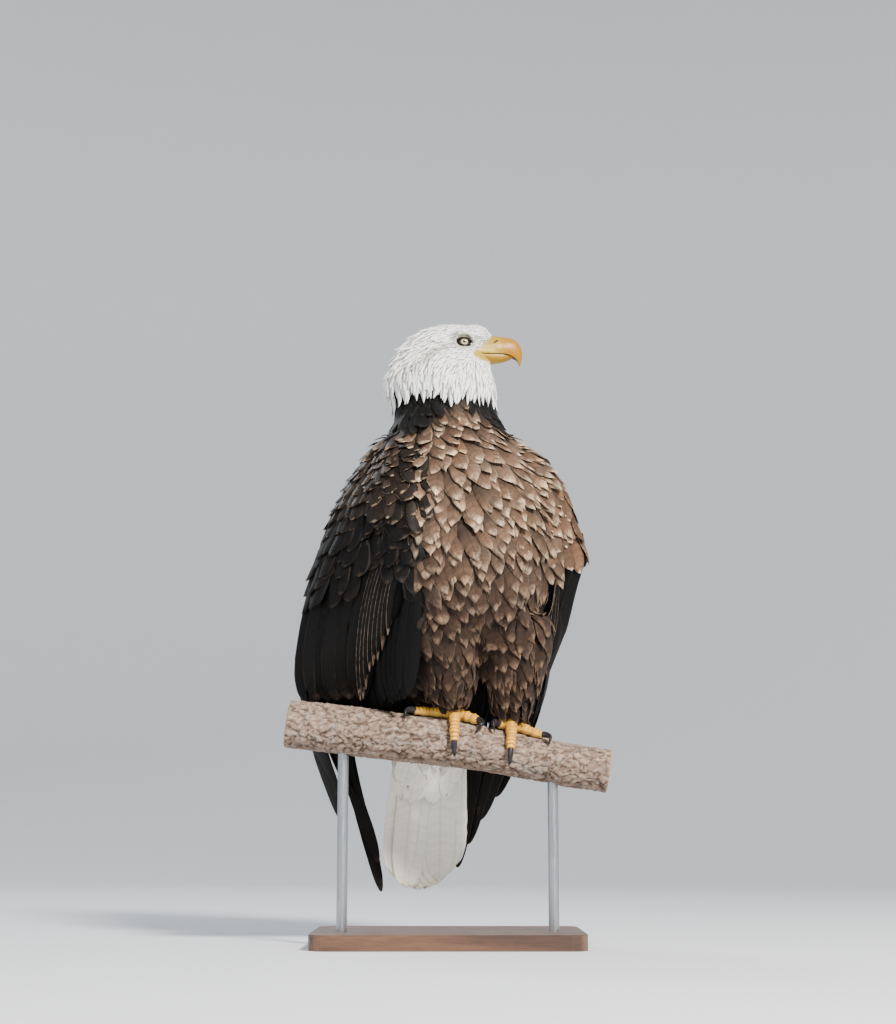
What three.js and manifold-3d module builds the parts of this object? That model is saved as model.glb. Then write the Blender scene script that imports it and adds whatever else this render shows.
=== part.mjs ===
// A life-size adult bald eagle perched on a cut length of branch, on a plain display stand.
// Millimetres, +Z up, origin at the centre of the base's underside. The branch runs along X. The bird's
// breast faces -Y, turned towards +X, and its head looks along +X.
import * as THREE from "three";
import { mergeVertices } from "three/addons/utils/BufferGeometryUtils.js";
import Module from "manifold-3d";

const wasm = await Module();
wasm.setup();

// ---------------------------------------------------------------- driving sizes
const GAP = 0.3; // clearance between pieces that touch
const FINEST = 0.1; // detail below this is smoothed away after cutting
const { sin, cos, abs, PI } = Math;
const RAD = PI / 180;

const base = { length: 350, width: 250, height: 20, corner: 22 };
const rod = { radius: 7, spread: 138, intoPerch: 18 };
const perch = {
  length: 424, axisHeight: 253, y: -12, slope: -8.5 * RAD, levelAt: 40,
  radius: 31, taper: -0.012, knots: 1.5, around: 14, along: 8,
  swayY: 3, swayLengthY: 90, swayZ: 2.5, swayLengthZ: 70, // slow bends of the branch, and their lengths
  knotLengths: [31, 47], // the pitch of its long knots, twisting each way
};

// The bird's own frame: origin at its ankles, x to its left, y backwards, z up.
const stance = { x: 30, rise: 19, yaw: 20 * RAD, lean: -4 * RAD };
const headTurn = -24.5 * RAD; // from the bird's left to the way the bill points
const headCentre = [4, 10];
const ROUND = 20; // points round each body section
const EGG = { trunk: 2.15, head: 2.1 }; // how square the sections are: 2 is an ellipse

// Body sections: height, half width, front, back.
const trunkSections = [
  [-30, 26, 76, 110], [-5, 48, 68, 122], [20, 66, 60, 127], [38, 80, 46, 130], [60, 92, 4, 132],
  [92, 106, -64, 134], [150, 126, -108, 136], [215, 135, -119, 137], [280, 130, -111, 132],
  [330, 114, -90, 120], [368, 93, -66, 104], [400, 75, -50, 88],
];
// Head and neck sections: height, reach towards the bill, reach towards the nape, half width.
const headSections = [
  [368, 90, 90, 88], [401, 71, 77, 69], [426, 67, 84, 66], [446, 64, 84, 63], [465, 62, 79, 56],
  [477, 60, 74, 48], [490, 57, 66, 40], [499, 57, 60, 35.5], [508, 62, 53, 32.5], [517, 67, 42, 30],
  [525, 63, 23, 24], [529.5, 54, 9, 17],
];
const crown = { z: 531.5, forward: 32 };
const neckBlend = { from: 375, to: 430 }; // where the trunk's section turns into the neck's
const cuts = { neckFoot: 384, headFoot: 428 };
const bodyRows = { trunk: 14, neck: 3, head: 11 }; // rings up each piece

// Bill, side view: distance forward of the head's axis, height, and half width.
const upperBill = [
  { top: [40, 517.9], foot: [40, 486.8], half: 24 }, { top: [58, 515.8], foot: [54, 486.6], half: 19 },
  { top: [72, 513.6], foot: [66, 486.6], half: 16 }, { top: [86, 512], foot: [76, 486.6], half: 13.6 },
  { top: [95.6, 509], foot: [85, 486], half: 11 }, { top: [102.4, 502], foot: [92, 483.6], half: 8.2 },
  { top: [105.6, 492], foot: [96.6, 480.3], half: 5.6 },
  { top: [104.6, 481.6], foot: [98.8, 475.8], half: 3.2 },
];
const upperBillTip = [100.6, 470.6];
const lowerBill = [
  { top: [40, 490], foot: [40, 475.6], half: 23.4 }, { top: [58, 490], foot: [58, 475.9], half: 17.2 },
  { top: [74, 489.6], foot: [74, 477], half: 13 }, { top: [84, 488.4], foot: [84, 479.6], half: 9.2 },
];
const lowerBillTip = [92.2, 484];
const eye = { radius: 9.5, forward: 28, side: 23, z: 499.8 };
const brow = { forward: 31.5, side: 27, z: 509.4, half: [19, 7, 4.5], pitch: 10 * RAD, toe: 8 * RAD };
const billRidge = { upper: 0.3, lower: -0.25 }; // how much a section narrows towards its top
const BILL_ROUND = 12;

// Wing sections: height, then leading, widest and trailing points as [out, back], and thickness.
const rightWing = {
  side: -1, name: "right",
  sections: [
    [375, [70, -6], [82, 32], [58, 76], 9], [362, [80, -34], [104, 42], [54, 104], 15],
    [335, [87, -58], [127, 58], [48, 132], 20], [281, [90, -85], [157, 66], [42, 149], 24],
    [200, [98, -88], [186, 80], [40, 161], 24], [146, [109, -56], [196, 88], [44, 167], 22],
    [92, [106, -20], [203, 98], [50, 172], 18], [32, [94, 48], [198, 114], [58, 180], 11],
  ],
  split: 178,
  // Flight-feather blades below the shell: root's share of the way round, tip, half width, twist.
  blades: [
    [0.52, [153, 136, -98], 15, 0.9], [0.56, [144, 142, -130], 16, 1], [0.62, [130, 152, -96], 16, 0.5],
    [0.68, [112, 166, -98], 16, 0.1], [0.74, [84, 178, -190], 9, -0.7], [0.79, [79, 188, -230], 9, -0.7],
  ],
};
const leftWing = {
  side: 1, name: "left",
  sections: [
    [375, [66, 0], [82, 26], [58, 76], 9], [362, [74, -14], [106, 26], [54, 104], 15],
    [335, [84, -40], [134, -4], [48, 132], 20], [281, [94, -62], [155, -12], [42, 149], 24],
    [200, [100, -62], [168, -8], [40, 161], 24], [146, [98, -48], [145, 4], [44, 167], 22],
    [92, [92, -30], [133, 18], [50, 172], 18], [32, [84, 16], [124, 58], [58, 180], 11],
  ],
  split: 178,
  blades: [
    [0.3, [106, 98, -58], 16, 0.2], [0.42, [94, 114, -86], 18, 0.1], [0.54, [78, 132, -112], 18, 0],
    [0.66, [60, 152, -142], 17, 0], [0.78, [47, 170, -174], 15, 0], [0.88, [34, 184, -205], 14, 0],
  ],
};

const wingLift = { edge: 4.5, middle: 5 }; // least stand-off of a folded wing from the trunk
const wingBulk = { edge: 0.25, lean: 0.8 }; // thickness share at the edges, and how far forward it peaks
const wingGrid = { across: 10, coverts: 7, secondaries: 5 };
const flightBlade = { thick: 4, bow: 3, inset: 5, endWidth: 0.55 };
// Height of the folded secondaries' tips, from the leading to the trailing edge.
const wingHem = { shares: [0, 0.3, 0.5, 0.75, 1], heights: [17, 22, 21, 32, 92] };

// Tail: twelve feathers, fanned from the rump, and the soft coverts in front of and behind their roots.
const tail = {
  feathers: 12, root: [-12, 112, 26], tip: [-23, 186, -229], rootPitch: 4.5, tipPitch: 7.6, half: 25,
  thick: 2.6, bow: 5, endWidth: 0.8, stepBack: 1.3, tipStepBack: 2.1, stepUp: 0.75,
  rootHalf: 52, tipHalf: 84, depth: 13, // the folded fan as a whole
};
const undertail = { from: [-8, 94, 2], to: [-22, 146, -112], half: 46, thick: 17 };
const uppertail = { from: [-6, 130, 24], to: [-16, 164, -84], half: 42, thick: 12 };

// Each toe: points as [x from the foot, angle round the perch from its top towards -Y], radii, and claw,
// whose tip lies dx along the perch from the toe's end.
const legs = [
  {
    name: "right",
    footX: 3,
    hip: [-50, -20, 116],
    ankleShift: [-4, 0],
    toes: {
      outer: {
        path: [[-9, 2], [-24, 6], [-40, 12], [-54, 20]],
        radius: [7.6, 6, 5.6],
        claw: { length: 31, radius: 4.6, dx: -9 },
      },
      middle: {
        path: [[0, 12], [1, 38], [3, 64], [5, 88]],
        radius: [8, 6.4, 5.8],
        claw: { length: 31, radius: 4.8, dx: 3 },
      },
      inner: {
        path: [[9, 2], [17, 9], [26, 17], [33, 25]],
        radius: [7.8, 6.6, 6.2],
        claw: { length: 34, radius: 5.2, dx: -2 },
      },
      hind: {
        path: [[-2, -14], [-3, -34], [-4, -54], [-5, -70]],
        radius: [8.2, 7, 6.6],
        claw: { length: 42, radius: 6, dx: -2 },
      },
    },
  },
  {
    name: "left",
    footX: 78,
    hip: [60, -26, 116],
    ankleShift: [2, 0],
    toes: {
      outer: {
        path: [[9, 2], [20, 8], [32, 15], [43, 22]],
        radius: [7.6, 6, 5.6],
        claw: { length: 31, radius: 4.6, dx: 8 },
      },
      middle: {
        path: [[0, 12], [1, 38], [2, 64], [3, 86]],
        radius: [8, 6.4, 5.8],
        claw: { length: 31, radius: 4.8, dx: 1 },
      },
      inner: {
        path: [[-8, 2], [-12, 6], [-15, 10], [-18, 14]],
        radius: [7.8, 6.6, 6.2],
        claw: { length: 34, radius: 5.2, dx: -3 },
      },
      hind: {
        path: [[-1, -14], [0, -34], [1, -54], [2, -70]],
        radius: [8.2, 7, 6.6],
        claw: { length: 42, radius: 6, dx: 2 },
      },
    },
  },
];
const toeGrid = { steps: 4, round: 7, clawSteps: 6, clawRound: 6 };
const clawCurl = 34; // degrees round the perch from the toe's end to the claw's tip
const palm = { half: [12, 12.5, 8], lift: 8.4 };
const tarsus = { radius: 8.5, height: 26, swell: [1.05, 0.95, 1.1] };
const thigh = {
  shares: [0, 0.4, 0.75, 1], across: [52, 47, 38, 27], deep: [60, 54, 42, 25],
  cuffHeight: 15, kneeShare: 0.45, kneeForward: 10, steps: 6,
};

const colours = {
  white: 0xe9e6dd, brown: 0x5a4638, dark: 0x2c2521, bill: 0xe9a936, foot: 0xe2a52f,
  claw: 0x2b2a2b, iris: 0xd9cf9c, bark: 0x9c8a78, wood: 0x3b332d, steel: 0x9a9da0,
};

// ---------------------------------------------------------------- geometry helpers
const vec = (x, y, z) => new THREE.Vector3(x, y, z);
const mix = (a, b, t) => a + (b - a) * t;
const clamp = (t) => Math.min(Math.max(t, 0), 1);
const smooth = (t) => clamp(t) ** 2 * (3 - 2 * clamp(t));
const counting = (count) => Array.from({ length: count }, (_, i) => i);

// A smooth curve through the points (keys[i], values[i]), with no overshoot between them.
function through(keys, values) {
  const slopes = keys.map((key, i) => {
    if (i === 0 || i === keys.length - 1) return 0;
    const before = (values[i] - values[i - 1]) / (key - keys[i - 1]);
    const after = (values[i + 1] - values[i]) / (keys[i + 1] - key);
    return before * after <= 0 ? 0 : (2 * before * after) / (before + after);
  });
  slopes[0] = (values[1] - values[0]) / (keys[1] - keys[0]);
  slopes[keys.length - 1] = (values.at(-1) - values.at(-2)) / (keys.at(-1) - keys.at(-2));
  return (key) => {
    let i = 0;
    while (i < keys.length - 2 && key > keys[i + 1]) i++;
    const step = keys[i + 1] - keys[i];
    const t = clamp((key - keys[i]) / step);
    const a = t * t * (3 - 2 * t);
    const b = t * (1 - t) * (1 - t) * step;
    const c = t * t * (t - 1) * step;
    return values[i] * (1 - a) + values[i + 1] * a + slopes[i] * b + slopes[i + 1] * c;
  };
}

// One smooth function for each column of a table whose first column is the key.
function columns(table) {
  const keys = table.map((row) => row[0]);
  return table[0].slice(1).map((_, k) => through(keys, table.map((row) => row[k + 1])));
}

// A closed body through rings of equal counts, with a fan to a point at each end. On a banded ring the
// second half runs back along the first, and a strip across the band closes each end instead.
function loft(rings, first, last, banded = false) {
  const count = rings[0].length;
  const centre = (ring) => ring.reduce((sum, p) => sum.add(p), vec(0, 0, 0)).divideScalar(count);
  const points = rings.flat();
  const index = [];
  const end = points.length - count;
  for (let i = 0; i < count; i++) {
    const next = (i + 1) % count;
    for (let r = 0; r < rings.length - 1; r++) {
      const a = r * count;
      const b = a + count;
      index.push(a + i, a + next, b + next, a + i, b + next, b + i);
    }
    const across = count - 1 - i;
    if (banded && i < count / 2 - 1) {
      index.push(i, across, across - 1, i, across - 1, next);
      index.push(end + i, end + across - 1, end + across, end + i, end + next, end + across - 1);
    }
    if (!banded) index.push(end + count, next, i, end + count + 1, end + i, end + next);
  }
  if (!banded) points.push(first ?? centre(rings[0]), last ?? centre(rings.at(-1)));
  const geometry = new THREE.BufferGeometry().setFromPoints(points);
  geometry.setIndex(index);
  return geometry;
}

// A solid from a closed geometry, turned the right way out.
function solid(geometry) {
  const plain = new THREE.BufferGeometry();
  plain.setAttribute("position", geometry.getAttribute("position").clone());
  plain.setIndex(geometry.index ? [...geometry.index.array] : null);
  const merged = mergeVertices(plain, 1e-4);
  const triVerts = new Uint32Array(merged.index.array);
  const build = () => new wasm.Manifold(new wasm.Mesh({
    numProp: 3, vertProperties: merged.attributes.position.array, triVerts,
  }));
  const made = build();
  if (made.volume() > 0) return made;
  for (let i = 0; i < triVerts.length; i += 3) triVerts.subarray(i, i + 3).reverse();
  return build();
}

// The largest body of a solid, as a geometry: thin slivers that a cut leaves are dropped.
function geometryOf(made) {
  const bodies = made.simplify(FINEST).decompose().sort((a, b) => b.volume() - a.volume());
  const mesh = bodies[0].getMesh();
  const geometry = new THREE.BufferGeometry();
  geometry.setAttribute("position", new THREE.BufferAttribute(new Float32Array(mesh.vertProperties), 3));
  geometry.setIndex(new THREE.BufferAttribute(new Uint32Array(mesh.triVerts), 1));
  return geometry;
}

// A point of a station, which has a centre, an across and an up direction, and half sizes.
const onStation = ({ centre, across, up, half }, a, b) => centre.clone()
  .addScaledVector(across, a * half[0]).addScaledVector(up, b * half[1]);

// Rings square to a path, one at each station.
function ringsAlong(stations, count) {
  const angles = counting(count).map((i) => (i / count) * 2 * PI);
  return stations.map((station) => angles.map((angle) => onStation(station, cos(angle), sin(angle))));
}

// The same with a flat, square-edged section of four corners.
function slabsAlong(stations) {
  const corners = [[1, 1], [-1, 1], [-1, -1], [1, -1]];
  return stations.map((station) => corners.map(([a, b]) => onStation(station, a, b)));
}

// A round tube along points, with a radius at each, and a point at the far end where tip is given.
function tube(points, radii, count, tip) {
  const stations = points.map((centre, i) => {
    const next = points[Math.min(i + 1, points.length - 1)];
    const before = points[Math.max(i - 1, 0)];
    const along = next.clone().sub(before).normalize();
    const helper = abs(along.x) > 0.8 ? vec(0, 0, 1) : vec(1, 0, 0);
    const up = helper.clone().cross(along).normalize();
    return { centre, across: along.clone().cross(up), up, half: [radii[i], radii[i]] };
  });
  return loft(ringsAlong(stations, count), undefined, tip);
}

function ellipsoid(half, segments, rows) {
  return new THREE.SphereGeometry(1, segments, rows).scale(...half);
}

// ---------------------------------------------------------------- nodes
const eagle = new THREE.Group();
const bird = new THREE.Group();
const stand = new THREE.Group();
eagle.add(bird, stand);

function addPart(group, name, geometry, colour, roughness = 0.8, metalness = 0) {
  const material = new THREE.MeshStandardMaterial({ color: colour, roughness, metalness });
  const mesh = new THREE.Mesh(geometry, material);
  mesh.name = name;
  group.add(mesh);
  return mesh;
}

// ---------------------------------------------------------------- perch and stand
const perchAxis = (x) => vec(
  x,
  perch.y + perch.swayY * sin(x / perch.swayLengthY),
  perch.axisHeight + Math.tan(perch.slope) * (x - perch.levelAt) + perch.swayZ * cos(x / perch.swayLengthZ),
);
const perchUp = vec(-sin(perch.slope), 0, cos(perch.slope));
const perchRadius = (x, angle) => perch.radius + perch.taper * x + (perch.knots / 2)
  * (sin(3 * angle + x / perch.knotLengths[0]) + sin(2 * angle - x / perch.knotLengths[1]));

// A point off the bark: x along the branch, angle from its top towards the front, lift above the bark.
function onPerch(x, angle, lift) {
  const reach = perchRadius(x, angle) + lift;
  return perchAxis(x).addScaledVector(perchUp, reach * cos(angle)).add(vec(0, -reach * sin(angle), 0));
}

const perchRings = counting(perch.along + 1).map((k) => {
  const x = mix(-perch.length / 2, perch.length / 2, k / perch.along);
  return counting(perch.around).map((i) => onPerch(x, (i / perch.around) * 2 * PI, 0));
});
const perchSolid = solid(loft(perchRings));

const rodX = [-rod.spread, rod.spread];
const rodTop = (x) => perchAxis(x).z - perch.radius + rod.intoPerch;
function rodGeometry(x, grow) {
  const height = rodTop(x) - base.height + grow;
  return new THREE.CylinderGeometry(rod.radius + grow, rod.radius + grow, height, 16)
    .rotateX(PI / 2).translate(x, perchAxis(x).y, base.height + height / 2);
}
const drilled = rodX.reduce((made, x) => made.subtract(solid(rodGeometry(x, GAP))), perchSolid);
addPart(stand, "perch_branch", geometryOf(drilled), colours.bark, 0.9);
rodX.forEach((x, i) => {
  addPart(stand, ["stand_rod_left", "stand_rod_right"][i], rodGeometry(x, 0), colours.steel, 0.35, 1);
});

const plate = new THREE.Shape();
const [px, py, pr] = [base.length / 2, base.width / 2, base.corner];
plate.moveTo(-px + pr, -py);
plate.lineTo(px - pr, -py);
plate.absarc(px - pr, -py + pr, pr, -PI / 2, 0);
plate.absarc(px - pr, py - pr, pr, 0, PI / 2);
plate.absarc(-px + pr, py - pr, pr, PI / 2, PI);
plate.absarc(-px + pr, -py + pr, pr, PI, 1.5 * PI);
const plateShape = { depth: base.height, bevelEnabled: false, curveSegments: 3 };
addPart(stand, "stand_base", new THREE.ExtrudeGeometry(plate, plateShape), colours.wood, 0.5);

// ---------------------------------------------------------------- the bird's frame
const perchTop = onPerch(perch.levelAt, 0, 0);
bird.position.set(stance.x, perch.y, perchTop.z + stance.rise);
bird.rotation.set(0, stance.lean, stance.yaw, "XYZ"); // yaw first, then the lean towards -X
bird.updateMatrixWorld(true);
const inBird = (point) => bird.worldToLocal(point.clone());
const gripped = (x, degrees, lift) => inBird(onPerch(x, degrees * RAD, lift));

// ---------------------------------------------------------------- trunk, neck and head
const [trunkHalf, trunkFront, trunkBack] = columns(trunkSections);
const [headFront, headBack, headHalf] = columns(headSections);

// Distance from a centre to an egg's outline, in a direction turned by angle from its long axis.
function eggReach(angle, front, back, half, power) {
  const along = abs(cos(angle)) / (cos(angle) > 0 ? front : back);
  const across = abs(sin(angle)) / half;
  return (along ** power + across ** power) ** (-1 / power);
}

const headAcross = vec(-sin(headTurn), cos(headTurn), 0);
const headAlong = vec(cos(headTurn), sin(headTurn), 0);
const headLevel = Math.tan(stance.lean); // the head stays level although the body leans
const inHead = (forward, side, z) => vec(...headCentre, z + headLevel * forward)
  .addScaledVector(headAlong, forward).addScaledVector(headAcross, side);

// The body's outline at a height, grown outwards by grow. Directions turn from the bird's left to its back.
function bodyRing(z, grow = 0) {
  const midY = (trunkFront(z) + trunkBack(z)) / 2;
  const deep = (trunkBack(z) - trunkFront(z)) / 2;
  const share = smooth((z - neckBlend.from) / (neckBlend.to - neckBlend.from));
  return counting(ROUND).map((i) => {
    const angle = (i / ROUND) * 2 * PI;
    const trunkReach = eggReach(angle, trunkHalf(z), trunkHalf(z), deep, EGG.trunk);
    const headReach = eggReach(angle - headTurn, headFront(z), headBack(z), headHalf(z), EGG.head);
    const reach = mix(trunkReach, headReach, share) + grow;
    const forward = reach * cos(angle - headTurn);
    return vec(
      share * headCentre[0] + reach * cos(angle),
      mix(midY, headCentre[1], share) + reach * sin(angle),
      z + share * headLevel * forward,
    );
  });
}

function bodyLoft(low, high, rows, grow, apex) {
  const rings = counting(rows + 1).map((k) => bodyRing(mix(low, high, k / rows), grow));
  return solid(loft(rings, undefined, apex));
}

const trunkLow = trunkSections[0][0];
const trunkHigh = cuts.neckFoot - GAP / 2;
const trunkSolid = bodyLoft(trunkLow, trunkHigh, bodyRows.trunk, 0);
const trunkCutter = bodyLoft(trunkLow, trunkHigh, bodyRows.trunk, GAP * 2);
const neckSolid = bodyLoft(cuts.neckFoot + GAP / 2, cuts.headFoot - GAP / 2, bodyRows.neck, 0);
const headTop = headSections.at(-1)[0];
const headApex = inHead(crown.forward, 0, crown.z);
const headSolid = bodyLoft(cuts.headFoot + GAP / 2, headTop, bodyRows.head, 0, headApex);

// Bill: each section is a rounded triangle, narrow at the ridge, hung between its top and foot points.
function billSolid(sections, tip, ridge, grow = 0) {
  const rings = sections.map(({ top, foot, half }, row) => {
    const rootward = row === 0 ? grow : 0;
    const middle = [(top[0] + foot[0]) / 2 - rootward, (top[1] + foot[1]) / 2];
    const deep = [(top[0] - foot[0]) / 2, (top[1] - foot[1]) / 2];
    const stretch = 1 + grow / Math.hypot(...deep);
    return counting(BILL_ROUND).map((i) => {
      const angle = (i / BILL_ROUND) * 2 * PI;
      const rise = sin(angle);
      const wide = (half + grow) * cos(angle) * (1 - ridge * rise);
      return inHead(middle[0] + deep[0] * rise * stretch, wide, middle[1] + deep[1] * rise * stretch);
    });
  });
  return solid(loft(rings, undefined, inHead(tip[0], 0, tip[1])));
}
const upperCutter = billSolid(upperBill, upperBillTip, billRidge.upper, GAP);
const lowerCutter = billSolid(lowerBill, lowerBillTip, billRidge.lower, GAP);
const upperSolid = billSolid(upperBill, upperBillTip, billRidge.upper);
const lowerSolid = billSolid(lowerBill, lowerBillTip, billRidge.lower).subtract(upperCutter);

const browSolid = (side) => solid(
  ellipsoid(brow.half, 8, 4).rotateY(brow.pitch).rotateZ(headTurn - side * brow.toe)
    .translate(...inHead(brow.forward, side * brow.side, brow.z).toArray()),
);
const eyeGeometry = (side, grow) => ellipsoid([1, 1, 1].map(() => eye.radius + grow), 10, 7)
  .translate(...inHead(eye.forward, side * eye.side, eye.z).toArray());

const headCutters = [upperCutter, lowerCutter, solid(eyeGeometry(-1, GAP)), solid(eyeGeometry(1, GAP))];
const headWithBrows = headSolid.add(browSolid(-1)).add(browSolid(1));
const headCut = headCutters.reduce((made, cutter) => made.subtract(cutter), headWithBrows);

addPart(bird, "trunk", geometryOf(trunkSolid), colours.brown);
addPart(bird, "neck", geometryOf(neckSolid), colours.dark);
addPart(bird, "head", geometryOf(headCut), colours.white);
addPart(bird, "bill_upper", geometryOf(upperSolid), colours.bill, 0.35);
addPart(bird, "bill_lower", geometryOf(lowerSolid), colours.bill, 0.35);
[["eye_right", -1], ["eye_left", 1]].forEach(([name, side]) => {
  addPart(bird, name, eyeGeometry(side, 0), colours.iris, 0.1);
});

// ---------------------------------------------------------------- wings
// A wing's outer face at a height: a curve from the leading to the trailing edge, and the thickness.
function wingCurve(wing) {
  const rows = wing.sections.map((section) => section.flat()).reverse();
  const [leadX, leadY, wideX, wideY, trailX, trailY, thick] = columns(rows);
  // The middle control point makes the curve pass through the widest point half way along.
  const pull = (a, m, b) => 2 * m - (a + b) / 2;
  return (z) => {
    const curve = new THREE.QuadraticBezierCurve(
      new THREE.Vector2(leadX(z), leadY(z)),
      new THREE.Vector2(pull(leadX(z), wideX(z), trailX(z)), pull(leadY(z), wideY(z), trailY(z))),
      new THREE.Vector2(trailX(z), trailY(z)),
    );
    return { curve, thick: thick(z) };
  };
}

// A wing's ring between its hem and a level above it, at a share t of the way up. Where the wing lies
// on the trunk, its face stands off the trunk by at least the folded feathers' depth.
function wingRing(wing, curveAt, hem, high, t, grow) {
  const count = wingGrid.across;
  const outer = [];
  const inner = [];
  for (let i = 0; i <= count; i++) {
    const share = i / count;
    const z = mix(hem(share), high, t);
    const { curve, thick } = curveAt(z);
    const middle = new THREE.Vector2(0, (trunkFront(z) + trunkBack(z)) / 2);
    const pastEnd = (i === count ? grow : 0) - (i === 0 ? grow : 0);
    const spoke = curve.getPoint(share).addScaledVector(curve.getTangent(share), pastEnd).sub(middle);
    const deep = (trunkBack(z) - trunkFront(z)) / 2;
    const trunkReach = eggReach(spoke.angle(), trunkHalf(z), trunkHalf(z), deep, EGG.trunk);
    const bulk = thick * mix(wingBulk.edge, 1, Math.sqrt(sin(PI * share ** wingBulk.lean)));
    const reach = Math.max(spoke.length(), trunkReach + wingLift.edge + wingLift.middle * sin(PI * share));
    const face = spoke.clone().setLength(reach + grow).add(middle);
    const lining = spoke.clone().setLength(reach - bulk - grow).add(middle);
    outer.push(vec(wing.side * face.x, face.y, z));
    inner.push(vec(wing.side * lining.x, lining.y, z));
  }
  return [...outer, ...inner.reverse()];
}

function wingShell(wing, hem, high, rows, grow = 0) {
  const curveAt = wingCurve(wing);
  const rings = counting(rows + 1).map((k) => wingRing(wing, curveAt, hem, high, k / rows, grow));
  return solid(loft(rings, undefined, undefined, true));
}

// A flat feather blade from a root to a tip, narrowing to its end: facing is the way its face looks,
// twist turns it about its own length.
function blade(root, tip, facing, { half, thick, bow, endWidth, twist = 0 }) {
  const along = tip.clone().sub(root).normalize();
  const square = facing.clone().addScaledVector(along, -facing.dot(along)).normalize();
  const up = square.applyAxisAngle(along, twist);
  const across = along.clone().cross(up);
  const shares = [0, 0.55, 0.94];
  const widths = [0.8, 1, endWidth];
  const stations = shares.map((share, i) => ({
    centre: root.clone().lerp(tip, share).addScaledVector(up, bow * sin(PI * share)),
    across, up, half: [half * widths[i], (thick / 2) * mix(1, 0.6, share)],
  }));
  return solid(loft(slabsAlong(stations), undefined, tip));
}

function flightBlades(wing) {
  const pieces = wing.blades.map(([share, tip, half, twist]) => {
    const rootZ = Math.min(hemAt(share - 0.06), hemAt(share + 0.06)) - 2; // clear of the sloping hem
    const { curve } = wingCurve(wing)(rootZ);
    const point = curve.getPoint(share);
    const along = curve.getTangent(share);
    const facing = vec(wing.side * along.y, -along.x, 0);
    const root = vec(wing.side * point.x, point.y, rootZ).addScaledVector(facing, -flightBlade.inset);
    const end = vec(wing.side * tip[0], tip[1], tip[2]);
    return blade(root, end, facing, { ...flightBlade, half, twist: wing.side * twist });
  });
  return pieces.reduce((made, piece) => made.add(piece));
}

const hemAt = through(wingHem.shares, wingHem.heights);
// Taken away twice, so that a fold in a thin shell goes too.
const clearOf = (made, cutter) => made.subtract(cutter).subtract(cutter);
const flightShell = (wing, grow) => wingShell(wing, hemAt, wing.split - GAP / 2, wingGrid.secondaries, grow);
const flightCutters = [];
for (const wing of [rightWing, leftWing]) {
  const covertHem = () => wing.split + GAP / 2;
  const shoulder = clearOf(wingShell(wing, covertHem, wing.sections[0][0], wingGrid.coverts), trunkCutter);
  const flight = clearOf(flightShell(wing, 0), trunkCutter);
  flightCutters.push(flightShell(wing, 2 * GAP));
  const hemCutter = flightCutters.at(-1).translate(0, 0, -2 * GAP);
  const blades = flightBlades(wing).subtract(hemCutter).subtract(trunkCutter);
  addPart(bird, `wing_${wing.name}_coverts`, geometryOf(shoulder), colours.dark);
  addPart(bird, `wing_${wing.name}_secondaries`, geometryOf(flight), colours.dark);
  addPart(bird, `wing_${wing.name}_primaries`, geometryOf(blades), colours.dark);
}

// ---------------------------------------------------------------- tail
const tailBlades = counting(tail.feathers).map((i) => {
  const place = i - (tail.feathers - 1) / 2;
  const root = vec(
    tail.root[0] + place * tail.rootPitch,
    tail.root[1] - abs(place) * tail.stepBack,
    tail.root[2],
  );
  const tip = vec(
    tail.tip[0] + place * tail.tipPitch,
    tail.tip[1] - abs(place) * tail.tipStepBack,
    tail.tip[2] + place ** 2 * tail.stepUp,
  );
  return blade(root, tip, vec(place * 0.03, 1, 0.3), tail);
});
const tailSolid = tailBlades.reduce((made, piece) => made.add(piece)).subtract(trunkCutter);
const fanStation = (point, half) => ({
  centre: vec(...point).add(vec(0, -2, 0)), across: vec(1, 0, 0), up: vec(0, 1, 0), half: [half, tail.depth],
});
const fanStations = [fanStation(tail.root, tail.rootHalf), fanStation(tail.tip, tail.tipHalf)];
const tailCutter = solid(loft(ringsAlong(fanStations, 12)));

function covertSolid({ from, to, half, thick }) {
  const stations = [0, 0.25, 0.55, 0.8, 0.95].map((share, i) => ({
    centre: vec(...from).lerp(vec(...to), share), across: vec(1, 0, 0), up: vec(0, 1, 0),
    half: [half * [0.8, 1, 0.94, 0.66, 0.3][i], thick * [0.9, 1, 0.8, 0.5, 0.2][i]],
  }));
  return solid(loft(ringsAlong(stations, 14), undefined, vec(...to)));
}
addPart(bird, "tail_feathers", geometryOf(tailSolid), colours.white);
for (const [name, shape, keepFront] of [
  ["tail_coverts_under", undertail, true],
  ["tail_coverts_upper", uppertail, false],
]) {
  const middleY = (body) => body.boundingBox().min[1] + body.boundingBox().max[1];
  const bodies = covertSolid(shape).subtract(trunkCutter).subtract(tailCutter).decompose();
  bodies.sort((a, b) => (middleY(a) - middleY(b)) * (keepFront ? 1 : -1));
  addPart(bird, name, geometryOf(bodies[0]), colours.white);
}

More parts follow.
